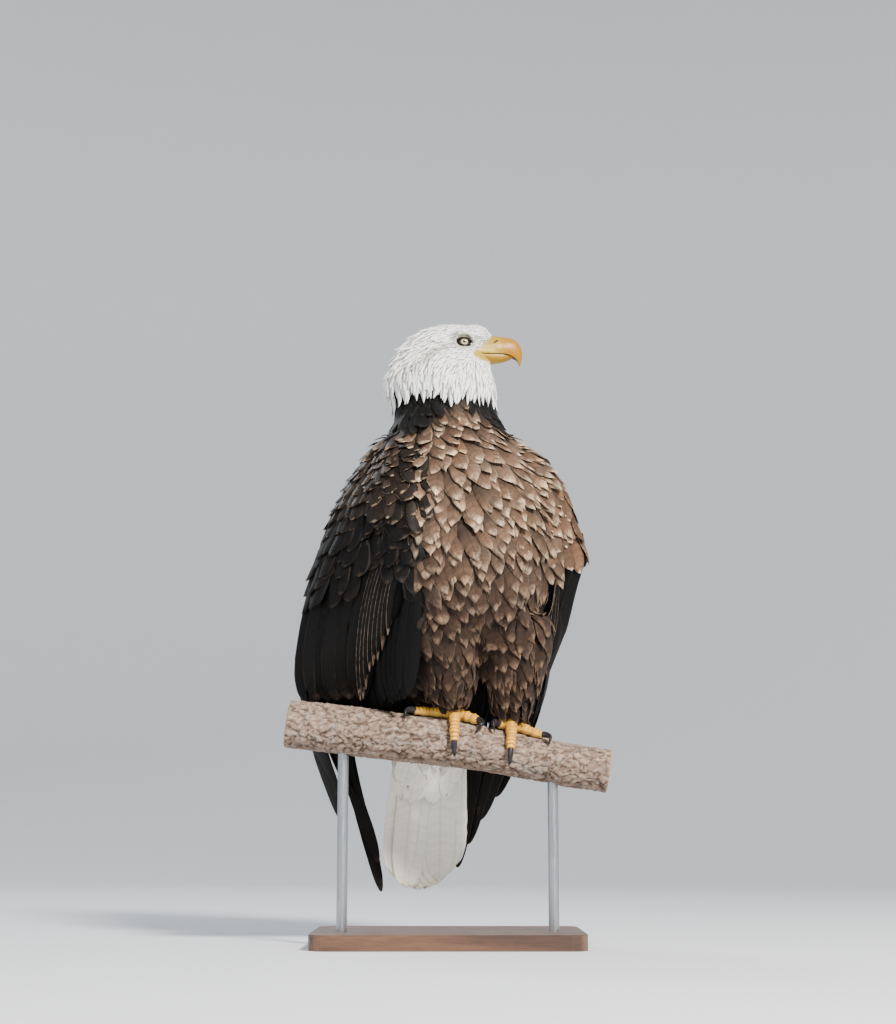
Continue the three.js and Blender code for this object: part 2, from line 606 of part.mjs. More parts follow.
// ---------------------------------------------------------------- legs, toes and claws
function toeParts(leg, toe, palmCutter) {
  const { steps, round, clawSteps, clawRound } = toeGrid;
  const anglesAt = through([0, 1, 2, 3], toe.path.map((point) => point[1]));
  const placesAt = through([0, 1, 2, 3], toe.path.map((point) => point[0]));
  const radiusAt = through([0, 1.5, 3], toe.radius);
  const shares = counting(steps + 1).map((i) => (3 * i) / steps);
  const radii = shares.map((share, i) => radiusAt(share) * (i === steps ? 0.86 : 1));
  const points = shares.map((share) => gripped(
    leg.footX + placesAt(share), anglesAt(share), radiusAt(share) + 1,
  ));
  const toeSolid = solid(tube(points, radii, round)).subtract(palmCutter);

  // The claw leaves the toe's end along it, then curls down to the bark.
  const end = points.at(-1);
  const endX = leg.footX + placesAt(3);
  const along = end.clone().sub(points.at(-2)).normalize();
  const intoBark = gripped(endX, anglesAt(3), -20).sub(end).normalize();
  const tip = gripped(endX + toe.claw.dx, anglesAt(3) + Math.sign(anglesAt(3)) * clawCurl, 0.8);
  const start = end.clone().addScaledVector(along, GAP);
  const reach = toe.claw.length / 2;
  const curve = new THREE.CubicBezierCurve3(
    start,
    start.clone().addScaledVector(along, reach).addScaledVector(intoBark, -reach * 0.12),
    tip.clone().addScaledVector(intoBark, -reach * 0.85),
    tip,
  );
  const clawPoints = counting(clawSteps).map((i) => curve.getPoint(i / clawSteps));
  // The first step goes straight on, so that the claw meets the toe's end squarely.
  clawPoints[1] = start.clone().addScaledVector(along, toe.claw.length / clawSteps);
  const clawRadii = clawPoints.map((_, i) => toe.claw.radius * (1 - (i / clawSteps) ** 1.3) + 0.3);
  return [toeSolid, solid(tube(clawPoints, clawRadii, clawRound, tip))];
}

let otherThigh = null; // the first thigh, grown, which the second gives way to
for (const leg of legs) {
  const centre = gripped(leg.footX, 0, palm.lift);
  const upright = vec(0, 0, 1);
  const ankle = centre.clone().add(vec(...leg.ankleShift, tarsus.height));
  const palmShape = (grow) => solid(ellipsoid(palm.half.map((size) => size + grow), 10, 6)
    .rotateZ(-stance.yaw).translate(...centre.toArray()));
  const shankPoints = (grow) => [
    centre, centre.clone().lerp(ankle, 0.5), ankle.clone().addScaledVector(upright, grow),
  ];
  const shankRadii = (grow) => tarsus.swell.map((share) => tarsus.radius * share + grow);
  const shank = (grow) => solid(tube(shankPoints(grow), shankRadii(grow), 8));
  const foot = palmShape(0).add(shank(0));
  const footCutter = palmShape(GAP).add(shank(GAP));

  const hip = vec(...leg.hip);
  const knee = hip.clone().lerp(ankle, thigh.kneeShare).add(vec(0, -thigh.kneeForward, 0));
  const cuff = centre.clone().add(vec(leg.ankleShift[0] * 0.5, 0, thigh.cuffHeight));
  const thighCurve = new THREE.QuadraticBezierCurve3(hip, knee, cuff);
  const acrossAt = through(thigh.shares, thigh.across);
  const deepAt = through(thigh.shares, thigh.deep);
  const thighStation = (share, grow) => ({
    centre: thighCurve.getPoint(share),
    across: vec(1, 0, 0),
    up: vec(0, 1, 0),
    half: [acrossAt(share) + grow, deepAt(share) + grow],
  });
  const thighShares = counting(thigh.steps + 1).map((i) => i / thigh.steps);
  const thighRings = (grow) => ringsAlong(thighShares.map((share) => thighStation(share, grow)), 16);
  const thighShape = (grow) => solid(loft(thighRings(grow)));
  const thighCutters = [trunkCutter, footCutter, ...flightCutters, ...(otherThigh ? [otherThigh] : [])];
  const thighSolid = thighCutters.reduce(clearOf, thighShape(0));
  otherThigh = thighShape(GAP);
  addPart(bird, `thigh_${leg.name}`, geometryOf(thighSolid), colours.brown);
  addPart(bird, `foot_${leg.name}`, geometryOf(foot), colours.foot, 0.5);
  for (const [toeName, toe] of Object.entries(leg.toes)) {
    const [toeSolid, clawSolid] = toeParts(leg, toe, footCutter);
    addPart(bird, `toe_${leg.name}_${toeName}`, geometryOf(toeSolid), colours.foot, 0.5);
    addPart(bird, `claw_${leg.name}_${toeName}`, geometryOf(clawSolid), colours.claw, 0.3);
  }
}

export default eagle;
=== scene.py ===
"""A life-size adult bald eagle on a cut length of branch, on a plain display stand.

The skin, the plumage and the finish of every surface are built around the CAD frame. Metres; the bird's own
frame has its origin at the ankles, x to its left, y backwards and z up.
"""

import math

import bmesh
import bpy
import numpy as np
from mathutils import Matrix, Vector, noise
from mathutils.bvhtree import BVHTree


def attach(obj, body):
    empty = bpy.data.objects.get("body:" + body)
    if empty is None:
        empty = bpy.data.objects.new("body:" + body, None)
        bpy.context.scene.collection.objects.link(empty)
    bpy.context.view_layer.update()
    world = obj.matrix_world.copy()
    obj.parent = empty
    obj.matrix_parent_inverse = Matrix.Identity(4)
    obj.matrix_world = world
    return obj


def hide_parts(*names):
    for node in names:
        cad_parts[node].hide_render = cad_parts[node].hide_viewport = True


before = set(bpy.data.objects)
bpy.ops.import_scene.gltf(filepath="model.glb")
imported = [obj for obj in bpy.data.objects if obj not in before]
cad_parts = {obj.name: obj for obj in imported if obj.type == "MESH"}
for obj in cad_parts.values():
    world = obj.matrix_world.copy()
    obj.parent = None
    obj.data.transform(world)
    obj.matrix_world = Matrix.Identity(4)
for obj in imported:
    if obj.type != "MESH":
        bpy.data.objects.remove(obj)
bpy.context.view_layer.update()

MM = 0.001
SCENE = bpy.context.scene

# ---------------------------------------------------------------- the bird's and the head's frames
STANCE = (
    Matrix.Translation((0.030, -0.012, 0.3048))
    @ Matrix.Rotation(math.radians(-4), 4, "Y")
    @ Matrix.Rotation(math.radians(20), 4, "Z")
)
TO_WORLD = np.array(STANCE)
TO_BIRD = np.linalg.inv(TO_WORLD)
HEAD_TURN = math.radians(-24.5)  # from the bird's left to the way the bill points
HEAD_CENTRE = np.array([4, 10, 0]) * MM
HEAD_LEVEL = math.tan(math.radians(-4))  # the head stays level although the body leans
HEAD_AHEAD = np.array([math.cos(HEAD_TURN), math.sin(HEAD_TURN), 0])
HEAD_ACROSS = np.array([-math.sin(HEAD_TURN), math.cos(HEAD_TURN), 0])  # towards its left
UP = np.array([0.0, 0.0, 1.0])
BODY_AXIS_Y = 0.012


def to_world(points):
    return points @ TO_WORLD[:3, :3].T + TO_WORLD[:3, 3]


def to_bird(points):
    return points @ TO_BIRD[:3, :3].T + TO_BIRD[:3, 3]


def in_head(forward, side, height):
    """Points of the bird's frame from the head's own coordinates."""
    forward, side, height = np.broadcast_arrays(*map(np.asarray, (forward, side, height)))
    lifted = (height + HEAD_LEVEL * forward)[..., None] * UP
    return HEAD_CENTRE + forward[..., None] * HEAD_AHEAD + side[..., None] * HEAD_ACROSS + lifted


def head_coordinates(points):
    """Forward, side (the head's left positive) and height of points, in the head's own level frame."""
    offset = points - HEAD_CENTRE
    forward = offset @ HEAD_AHEAD
    return forward, offset @ HEAD_ACROSS, points[..., 2] - HEAD_LEVEL * forward


# ---------------------------------------------------------------- small tools
def unit(vectors):
    return vectors / np.maximum(np.linalg.norm(vectors, axis=-1, keepdims=True), 1e-12)


def fade(x, low, high):
    """0 below low, 1 above high, smooth between. It falls where high is the smaller."""
    t = np.clip((x - low) / (high - low), 0, 1)
    return t * t * (3 - 2 * t)


def mix(a, b, t):
    return a + (b - a) * t


def dot(a, b):
    return (a * b).sum(-1, keepdims=True)


def srgb(red, green, blue):
    """A linear colour from the 0 to 255 values of a screen."""
    c = np.array([red, green, blue]) / 255
    return np.where(c <= 0.04045, c / 12.92, ((c + 0.055) / 1.055) ** 2.4)


def mesh_of(name, verts, quads, tris, flat=None):
    """A mesh in the world from points of the bird's frame. flat says which faces aren't shaded smooth."""
    loops = np.concatenate([quads.ravel(), tris.ravel()])
    starts = np.concatenate([np.arange(len(quads)) * 4, quads.size + np.arange(len(tris)) * 3])
    mesh = bpy.data.meshes.new(name)
    mesh.vertices.add(len(verts))
    mesh.vertices.foreach_set("co", to_world(verts).astype(np.float32).ravel())
    mesh.loops.add(len(loops))
    mesh.loops.foreach_set("vertex_index", loops.astype(np.int32))
    mesh.polygons.add(len(starts))
    mesh.polygons.foreach_set("loop_start", starts.astype(np.int32))
    mesh.update(calc_edges=True)
    if flat is not None:
        mesh.attributes.new("sharp_face", "BOOLEAN", "FACE").data.foreach_set("value", flat)
    return mesh, loops


def add_attribute(mesh, name, kind, values):
    field = {"FLOAT": "value", "FLOAT_VECTOR": "vector", "FLOAT_COLOR": "color"}[kind]
    if kind == "FLOAT_COLOR":
        values = np.concatenate([values, np.ones((len(values), 1))], 1)
    mesh.attributes.new(name, kind, "POINT").data.foreach_set(field, values.astype(np.float32).ravel())


def add_piece(name, mesh, material, replaces=()):
    piece = bpy.data.objects.new(name, mesh)
    SCENE.collection.objects.link(piece)
    mesh.materials.append(material)
    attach(piece, "root")
    if replaces:
        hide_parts(*replaces)
    return piece


# ---------------------------------------------------------------- surfaces
class Surface:
    """A closed mesh of quads in the bird's frame."""

    def __init__(self, verts, quads):
        self.verts, self.quads = verts, quads
        sides = np.concatenate([quads[:, [k, (k + 1) % 4]] for k in range(4)])
        self.edges = np.unique(np.sort(sides, 1), axis=0)
        self.degree = np.bincount(self.edges.ravel(), minlength=len(verts))

    def averaged(self, values, rounds, share=0.5):
        """Values at the vertices, moved towards their neighbours' mean again and again."""
        a, b = self.edges.T
        values = values.reshape(len(self.verts), -1)
        for _ in range(rounds):
            total = np.stack([
                np.bincount(a, column[b], len(column)) + np.bincount(b, column[a], len(column))
                for column in values.T
            ], 1)
            values = values + share * (total / self.degree[:, None] - values)
        return values

    def normals(self):
        corners = self.verts[self.quads]
        facing = np.cross(corners[:, 2] - corners[:, 0], corners[:, 3] - corners[:, 1])
        total = np.stack([
            sum(np.bincount(self.quads[:, k], facing[:, axis], len(self.verts)) for k in range(4))
            for axis in range(3)
        ], 1)
        return unit(total)

    def tree(self):
        return BVHTree.FromPolygons(self.verts.tolist(), self.quads.tolist())

    def sample(self, count, rng):
        """Points spread evenly over the surface."""
        corners = self.verts[self.quads]
        diagonals = corners[:, 2] - corners[:, 0], corners[:, 3] - corners[:, 1]
        area = np.linalg.norm(np.cross(*diagonals), axis=1)
        picked = corners[rng.choice(len(corners), count, p=area / area.sum())]
        u, v = rng.random((2, count, 1))
        return mix(mix(picked[:, 0], picked[:, 1], u), mix(picked[:, 3], picked[:, 2], u), v)


def remeshed(names, voxel, swell=0.0, clip=None):
    """One even mesh of quads round the CAD nodes, each first swollen a little so that near ones join.
    clip maps a node's name to a plane (point, direction) in the world that cuts off what lies past it."""
    bm = bmesh.new()
    for name in names:
        part = bmesh.new()
        part.from_mesh(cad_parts[name].data)
        bmesh.ops.remove_doubles(part, verts=part.verts, dist=1e-6)
        if clip and name in clip:
            point, direction = clip[name]
            geometry = part.verts[:] + part.edges[:] + part.faces[:]
            bmesh.ops.bisect_plane(part, geom=geometry, plane_co=point, plane_no=direction, clear_outer=True)
            bmesh.ops.holes_fill(part, edges=[e for e in part.edges if e.is_boundary])
        part.normal_update()
        for v in part.verts:
            v.co += v.normal * swell
        mesh = bpy.data.meshes.new("part")
        part.to_mesh(mesh)
        part.free()
        bm.from_mesh(mesh)
        bpy.data.meshes.remove(mesh)
    mesh = bpy.data.meshes.new("joined")
    bm.to_mesh(mesh)
    bm.free()
    work = bpy.data.objects.new("joined", mesh)
    SCENE.collection.objects.link(work)
    voxels = work.modifiers.new("voxels", "REMESH")
    voxels.mode, voxels.voxel_size = "VOXEL", voxel
    shaped = work.evaluated_get(bpy.context.evaluated_depsgraph_get())
    result = shaped.to_mesh()
    verts = np.empty(len(result.vertices) * 3, np.float32)
    result.vertices.foreach_get("co", verts)
    quads = np.empty(len(result.loops), np.int32)
    result.loops.foreach_get("vertex_index", quads)
    shaped.to_mesh_clear()
    bpy.data.objects.remove(work)
    bpy.data.meshes.remove(mesh)
    return Surface(to_bird(verts.reshape(-1, 3).astype(float)), quads.reshape(-1, 4))


def node_tree(names):
    """A search tree over CAD nodes in the bird's frame, and the node that each of its faces belongs to."""
    verts, faces, owner = [], [], []
    for index, name in enumerate(names):
        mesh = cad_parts[name].data
        flat = np.empty(len(mesh.vertices) * 3, np.float32)
        mesh.vertices.foreach_get("co", flat)
        shift = len(verts)
        verts += to_bird(flat.reshape(-1, 3).astype(float)).tolist()
        faces += [[v + shift for v in face.vertices] for face in mesh.polygons]
        owner += [index] * len(mesh.polygons)
    return BVHTree.FromPolygons(verts, faces), np.array(owner)


def nearest(tree, points):
    """The closest place on a surface to each point, the surface's normal there, and the face."""
    found = [tree.find_nearest(p) for p in points.tolist()]
    places = np.array([tuple(f[0]) for f in found])
    facings = np.array([tuple(f[1]) for f in found])
    return places, facings, np.array([f[2] for f in found])


# ---------------------------------------------------------------- skin
WINGS = {"right": -1, "left": 1}
COAT_DEPTH = {  # how far the skin lies inside each node of flesh
    "head": 1.4, "neck": 7.0, "trunk": 10.0, "thigh_right": 8.0, "thigh_left": 8.0,
    "wing_right_coverts": 6.0, "wing_left_coverts": 6.0, "wing_right_secondaries": 4.5,
    "wing_left_secondaries": 4.5, "tail_coverts_under": 3.0, "tail_coverts_upper": 3.0,
    "bill_upper": 3.0, "bill_lower": 3.0, "eye_right": 3.0, "eye_left": 3.0,
}
FILLERS = ("bill_upper", "bill_lower", "eye_right", "eye_left")  # they close the head's sockets
FLESH = [name for name in COAT_DEPTH if name not in FILLERS]
SKIN_VOXEL = 3.3 * MM
SWELL = 0.5 * MM
BILL_PLUG = 72 * MM  # how far forward the skin goes along the bill
WING_SKIN_END = 0.088  # below this height a wing is flight feathers only
WING_CORNER = np.array([-120, -15, 98]) * MM  # the low front corner of the right wing's skin, tucked in

FEATHER_LINE = {  # how far forward the head's feathers reach over the bill's base, by height
    "height": np.array([470.5, 473, 477, 481, 484.5, 488.3, 495.2, 504.8, 510, 514, 518]) * MM,
    "forward": np.array([78, 64, 45, 41, 40, 43, 52, 63, 68.5, 73, 75]) * MM,
}


def past_feathers(points):
    """How far in front of the edge of the head's feathers points lie."""
    forward, _, height = head_coordinates(points)
    return forward - np.interp(height, FEATHER_LINE["height"], FEATHER_LINE["forward"])


EYE = {"forward": 28 * MM, "side": 23 * MM, "height": 499.8 * MM, "radius": 9.5 * MM}
BROW = {"front": (47 * MM, 503.2 * MM), "back": (13 * MM, 511.5 * MM), "reach": 3.8 * MM, "rise": 3.8 * MM}
FOREHEAD = {"forward": 52 * MM, "height": 521 * MM, "reach": 13 * MM, "rise": 3.0 * MM}
SOCKET_DEPTH = 3.2 * MM


def eye_centre(side):
    return in_head(EYE["forward"], side * EYE["side"], EYE["height"])


def eye_gaze(side):
    """The way the eye looks: sideways, a little forward and level."""
    return unit(side * HEAD_ACROSS + 0.17 * HEAD_AHEAD + 0.02 * UP)


def off_gaze(points, side):
    """How far points lie from the line that an eye looks along, and how far out along it."""
    offset = points - eye_centre(side)
    out = dot(offset, eye_gaze(side))
    return np.linalg.norm(offset - out * eye_gaze(side), axis=-1), out[..., 0]


def head_relief(points):
    """How far the skin stands out: in a ridge over each eye and at the forehead, and back in the sockets."""
    forward, side, height = head_coordinates(points)
    front, back = np.array(BROW["front"]), np.array(BROW["back"])
    place = np.stack([forward, height], -1)
    along = np.clip((place - front) @ (back - front) / ((back - front) @ (back - front)), 0, 1)
    away = np.linalg.norm(place - mix(front, back, along[:, None]), axis=1)
    aside = fade(abs(side), 9 * MM, 17 * MM)
    relief = BROW["rise"] * np.exp(-(away / BROW["reach"]) ** 2) * aside * fade(along, 1.0, 0.7)
    above = np.hypot(forward - FOREHEAD["forward"], height - FOREHEAD["height"])
    relief += FOREHEAD["rise"] * np.exp(-(above / FOREHEAD["reach"]) ** 2) * fade(height, 0.500, 0.510)
    for sign in WINGS.values():
        aside, out = off_gaze(points, sign)
        inside = fade(aside, 11.5 * MM, 8.0 * MM) * (out > 0)
        relief = mix(relief, -SOCKET_DEPTH, inside)
    return relief


def build_skin():
    across_bill = (to_world(in_head(BILL_PLUG, 0, 0.5)), TO_WORLD[:3, :3] @ HEAD_AHEAD)
    below_wing = (to_world(np.array([0, 0, WING_SKIN_END])), -TO_WORLD[:3, 2])
    clip = dict.fromkeys(("bill_upper", "bill_lower"), across_bill)
    clip |= dict.fromkeys((f"wing_{name}_secondaries" for name in WINGS), below_wing)
    skin = remeshed(list(COAT_DEPTH), SKIN_VOXEL, SWELL, clip)
    tree, owner = node_tree(list(COAT_DEPTH))
    depths = np.array(list(COAT_DEPTH.values())) * MM + SWELL
    nearest_node = owner[nearest(tree, skin.verts)[2]]
    depth = depths[nearest_node]
    bill = np.isin(nearest_node, [list(COAT_DEPTH).index(name) for name in ("bill_upper", "bill_lower")])
    depth = np.where(bill, mix(0.2, 2.8, fade(past_feathers(skin.verts), -2 * MM, 2 * MM)) * MM, depth)
    height = skin.verts[:, 2]
    on_head = fade(height, 0.40, 0.45)[:, None]
    skin.verts = skin.averaged(skin.verts, 14, mix(0.5, 0.3, on_head))
    skin.verts = skin.verts - skin.normals() * skin.averaged(depth, 10)
    skin.verts = skin.averaged(skin.verts, 8, mix(0.5, 0.2, on_head))
    skin.verts = skin.verts + skin.normals() * head_relief(skin.verts)[:, None]
    to_corner = np.linalg.norm(skin.verts - WING_CORNER, axis=1)
    skin.verts[:, 1] += 12 * MM * fade(to_corner, 34 * MM, 10 * MM)
    return skin


SKIN = build_skin()
SKIN_TREE = SKIN.tree()
FLESH_TREE, FLESH_OWNER = node_tree(FLESH)

# ---------------------------------------------------------------- materials
class Shader:
    """A procedural material, and short ways to add nodes to it."""

    def __init__(self, name, roughness=0.6, **inputs):
        self.material = bpy.data.materials.new(name)
        self.material.use_nodes = True
        self.tree = self.material.node_tree
        self.surface = self.tree.nodes["Principled BSDF"]
        self.surface.inputs["Roughness"].default_value = roughness
        for key, value in inputs.items():
            self.surface.inputs[key.replace("_", " ")].default_value = value

    def node(self, kind, values=(), output=0, **settings):
        made = self.tree.nodes.new("ShaderNode" + kind)
        for key, value in settings.items():
            setattr(made, key, value)
        for key, value in dict(values).items():
            self.put(made.inputs[key], value)
        return made.outputs[output]

    def put(self, socket, value):
        if isinstance(value, bpy.types.NodeSocket):
            self.tree.links.new(value, socket)
        elif hasattr(socket.default_value, "__len__") and len(value) == 3 < len(socket.default_value):
            socket.default_value = (*value, 1)
        else:
            socket.default_value = value

    def attribute(self, name, output="Fac"):
        return self.node("Attribute", attribute_name=name, output=output)

    def math(self, operation, a, b=0.0):
        return self.node("Math", {0: a, 1: b}, operation=operation)

    def times(self, a, b):
        return self.math("MULTIPLY", a, b)

    def plus(self, a, b):
        return self.math("ADD", a, b)

    def fade(self, value, low, high, bottom=0.0, top=1.0):
        values = {"Value": value, "From Min": low, "From Max": high, "To Min": bottom, "To Max": top}
        return self.node("MapRange", values, interpolation_type="SMOOTHSTEP")

    def mix(self, share, a, b, blend="MIX"):
        return self.node("Mix", {0: share, 6: a, 7: b}, output=2, data_type="RGBA", blend_type=blend)

    def vector(self, x, y, z):
        return self.node("CombineXYZ", {0: x, 1: y, 2: z})

    def split(self, vector):
        made = self.tree.nodes.new("ShaderNodeSeparateXYZ")
        self.put(made.inputs[0], vector)
        return made.outputs

    def noise(self, vector, scale, detail=2.0, rough=0.5):
        return self.node("TexNoise", {"Vector": vector, "Scale": scale, "Detail": detail, "Roughness": rough})

    def place(self):
        return self.node("TexCoord", output="Object")

    def brighter(self, colour, factor):
        """The colour, multiplied by a factor."""
        return self.node("HueSaturation", {"Color": colour, "Value": factor})

    def bump(self, height, strength, distance):
        made = self.node("Bump", {"Height": height, "Strength": strength, "Distance": distance})
        self.put(self.surface.inputs["Normal"], made)

    def colour(self, value):
        self.put(self.surface.inputs["Base Color"], value)

    def rough(self, value):
        self.put(self.surface.inputs["Roughness"], value)


BARB_PITCH = 1.1 * MM


def feather_material(name, roughness, pale_from, *, bump, contrast, root=1.0, shaft=0.0, sheen=0.0):
    """A vane: fine barbs slanting from the shaft, a paler rim, and tones that vary along and between barbs.
    Its coordinates are (across from -1 to 1, along from 0 to 1, a random number). root is its brightness
    towards the root, contrast how much the barbs' tones differ, and shaft how much lighter the shaft is."""
    s = Shader(name, roughness, Sheen_Weight=sheen, Sheen_Roughness=0.5, Specular_IOR_Level=0.12)
    across, along, chance = s.split(s.attribute("vane", "Vector"))
    size = s.attribute("size")
    side = s.math("ABSOLUTE", across)
    length = s.times(along, s.times(size, 1 / BARB_PITCH))
    barb = s.plus(length, s.times(side, -5.0))
    clump = s.noise(s.vector(s.times(barb, 0.22), s.times(across, 0.35), s.times(chance, 91)), 1.0, 3)
    fine = s.noise(s.vector(barb, s.times(across, 0.8), s.times(chance, 57)), 1.0, 1)
    rim = s.math("MAXIMUM", s.math("POWER", side, 3.0), s.math("POWER", along, 4.0))
    rim = s.plus(rim, s.times(s.plus(clump, -0.5), 0.5))
    pale = s.fade(rim, pale_from, 1.02)
    clumps = s.fade(clump, 0.3, 0.7, 1 - contrast, 1 + contrast * 0.7)
    tone = s.plus(clumps, s.times(s.plus(fine, -0.5), contrast))
    tone = s.times(tone, s.fade(along, 0.3, 0.9, root, 1.0))
    colour = s.mix(pale, s.attribute("base", "Color"), s.attribute("edge", "Color"))
    stem = s.fade(side, 0.09, 0.035)
    s.colour(s.brighter(colour, s.times(tone, s.plus(1.0, s.times(stem, shaft)))))
    ridge = s.plus(s.times(fine, 0.5), s.plus(s.times(clump, 0.6), s.times(stem, 0.6)))
    s.bump(ridge, bump, 0.6 * MM)
    return s.material


HEAD_FEATHER = feather_material("head_feather", 0.65, 0.9, bump=0.2, contrast=0.06, sheen=0.1)
BODY_FEATHER = feather_material(
    "body_feather", 0.66, 0.36, bump=0.6, contrast=0.28, root=0.34, shaft=-0.2, sheen=0.04
)
WING_FEATHER = feather_material("wing_feather", 0.55, 0.74, bump=0.5, contrast=0.22, root=0.6, shaft=0.2)
TAIL_FEATHER = feather_material("tail_feather", 0.6, 0.85, bump=0.25, contrast=0.06, shaft=-0.12)


def skin_material():
    s = Shader("skin", 0.75, Specular_IOR_Level=0.08)
    cloud = s.noise(s.place(), 90, 3)
    s.colour(s.brighter(s.attribute("tint", "Color"), s.fade(cloud, 0.3, 0.7, 0.8, 1.1)))
    s.bump(cloud, 0.4, 1 * MM)
    return s.material


def horn_material(name, roughness, scale, spread, bump):
    """Smooth horn or keratin with faint growth lines and mottling over the vertex colours."""
    s = Shader(name, roughness, Coat_Weight=0.05, Coat_Roughness=0.25, Specular_IOR_Level=0.22)
    cloud = s.noise(s.place(), scale, 4, 0.6)
    fine = s.noise(s.place(), scale * 6, 2)
    s.colour(s.brighter(s.attribute("tint", "Color"), s.fade(cloud, 0.3, 0.7, 1 - spread, 1 + spread)))
    s.rough(s.fade(fine, 0.3, 0.7, roughness * 0.75, roughness * 1.25))
    s.bump(s.plus(cloud, s.times(fine, 0.35)), bump, 0.5 * MM)
    return s.material


def eye_material():
    """A pale iris with a darker edge and fine spokes round a black pupil, under a clear wet surface."""
    s = Shader("eye", 0.25, Coat_Weight=1.0, Coat_Roughness=0.03)
    across, high, _ = s.split(s.attribute("gaze", "Vector"))
    away = s.math("SQRT", s.plus(s.times(across, across), s.times(high, high)))
    turn = s.math("ARCTAN2", high, across)
    spokes = s.noise(s.vector(s.times(turn, 6), s.times(away, 260), 0.0), 1.0, 3)
    iris = s.mix(s.fade(away, 3.2 * MM, IRIS_REACH), tuple(IRIS), tuple(IRIS_EDGE))
    iris = s.brighter(iris, s.fade(spokes, 0.3, 0.7, 0.8, 1.1))
    iris = s.mix(s.fade(away, IRIS_REACH - 0.25 * MM, IRIS_REACH + 0.2 * MM), iris, tuple(srgb(24, 19, 14)))
    outside = s.fade(away, PUPIL_REACH - 0.1 * MM, PUPIL_REACH + 0.15 * MM)
    s.colour(s.mix(outside, (0.004, 0.004, 0.004), iris))
    return s.material


def foot_material():
    s = Shader("foot_skin", 0.42, Coat_Weight=0.15, Coat_Roughness=0.3)
    cells = s.node("TexVoronoi", {"Vector": s.place(), "Scale": 700}, feature="DISTANCE_TO_EDGE")
    cloud = s.noise(s.place(), 130, 3)
    tone = s.times(s.fade(cells, 0.0, 0.09, 0.75, 1.0), s.fade(cloud, 0.3, 0.7, 0.85, 1.1))
    s.colour(s.brighter(s.attribute("tint", "Color"), tone))
    s.bump(s.fade(cells, 0.0, 0.12), 0.5, 0.3 * MM)
    return s.material


def bark_material():
    s = Shader("bark", 0.85, Specular_IOR_Level=0.25)
    stretched = s.node("Mapping", {"Vector": s.place(), "Scale": (0.6, 1.0, 1.0)})
    grain = s.noise(stretched, 260, 5, 0.65)
    fine = s.noise(stretched, 1100, 3, 0.6)
    spots = s.fade(s.noise(s.place(), 75, 2), 0.56, 0.68)
    colour = s.brighter(s.attribute("tint", "Color"), s.fade(grain, 0.3, 0.7, 0.72, 1.16))
    s.colour(s.mix(s.times(spots, 0.4), colour, tuple(srgb(140, 138, 132))))
    s.bump(s.plus(grain, s.times(fine, 0.4)), 0.8, 0.9 * MM)
    return s.material


def wood_material():
    """Dark oiled walnut with its grain along the base."""
    s = Shader("base_wood", 0.4, Coat_Weight=0.2, Coat_Roughness=0.25)
    stretched = s.node("Mapping", {"Vector": s.place(), "Scale": (0.08, 1.0, 1.0)})
    warp = s.noise(stretched, 9, 3)
    bands = s.math("SINE", s.plus(s.times(s.split(s.place())[1], 260), s.times(warp, 34)))
    pores = s.noise(stretched, 420, 3, 0.7)
    colour = s.mix(s.fade(bands, -1, 1), tuple(srgb(70, 46, 32)), tuple(srgb(104, 72, 50)))
    s.colour(s.brighter(colour, s.fade(pores, 0.35, 0.65, 0.72, 1.1)))
    s.rough(s.fade(pores, 0.3, 0.7, 0.55, 0.36))
    s.bump(pores, 0.25, 0.3 * MM)
    return s.material


def steel_material():
    s = Shader("rod_steel", 0.32, Metallic=1.0)
    stretched = s.node("Mapping", {"Vector": s.place(), "Scale": (1.0, 1.0, 0.02)})
    brushed = s.noise(stretched, 2600, 2)
    s.colour(s.brighter((0.42, 0.43, 0.45, 1), s.fade(brushed, 0.3, 0.7, 0.85, 1.1)))
    s.rough(s.fade(brushed, 0.3, 0.7, 0.24, 0.42))
    return s.material


# ---------------------------------------------------------------- vanes
QUILL = 0.03  # the share of a feather's width curve that lies before its root
TIP_WIDTH = 0.07  # the least width, as a share of the greatest


def row_shares(rows):
    """Stations along a feather, closer together towards the tip."""
    t = np.linspace(0, 1, rows + 1)
    return 1 - (1 - t) ** 1.5


def outline(shares, rise, fall, blunt):
    """Relative half width along a feather: how fast it widens, how late it narrows, how round its tip is."""
    rise, fall, blunt = (np.asarray(value, float).reshape(-1, 1) for value in (rise, fall, blunt))
    width = (shares + QUILL) ** rise * np.maximum(1 - shares ** fall, 0) ** blunt
    return np.maximum(width / width.max(1, keepdims=True), TIP_WIDTH)


# Shapes of feathers: rise, fall and blunt of outline().
CONTOUR = (0.4, 3.2, 0.62)
SOFT = (0.35, 2.2, 0.8)
BROAD = (0.3, 5.0, 0.55)
FLIGHT = (0.14, 11.0, 0.55)


REACH = 25 * MM  # how near the skin has to be for a feather to follow it


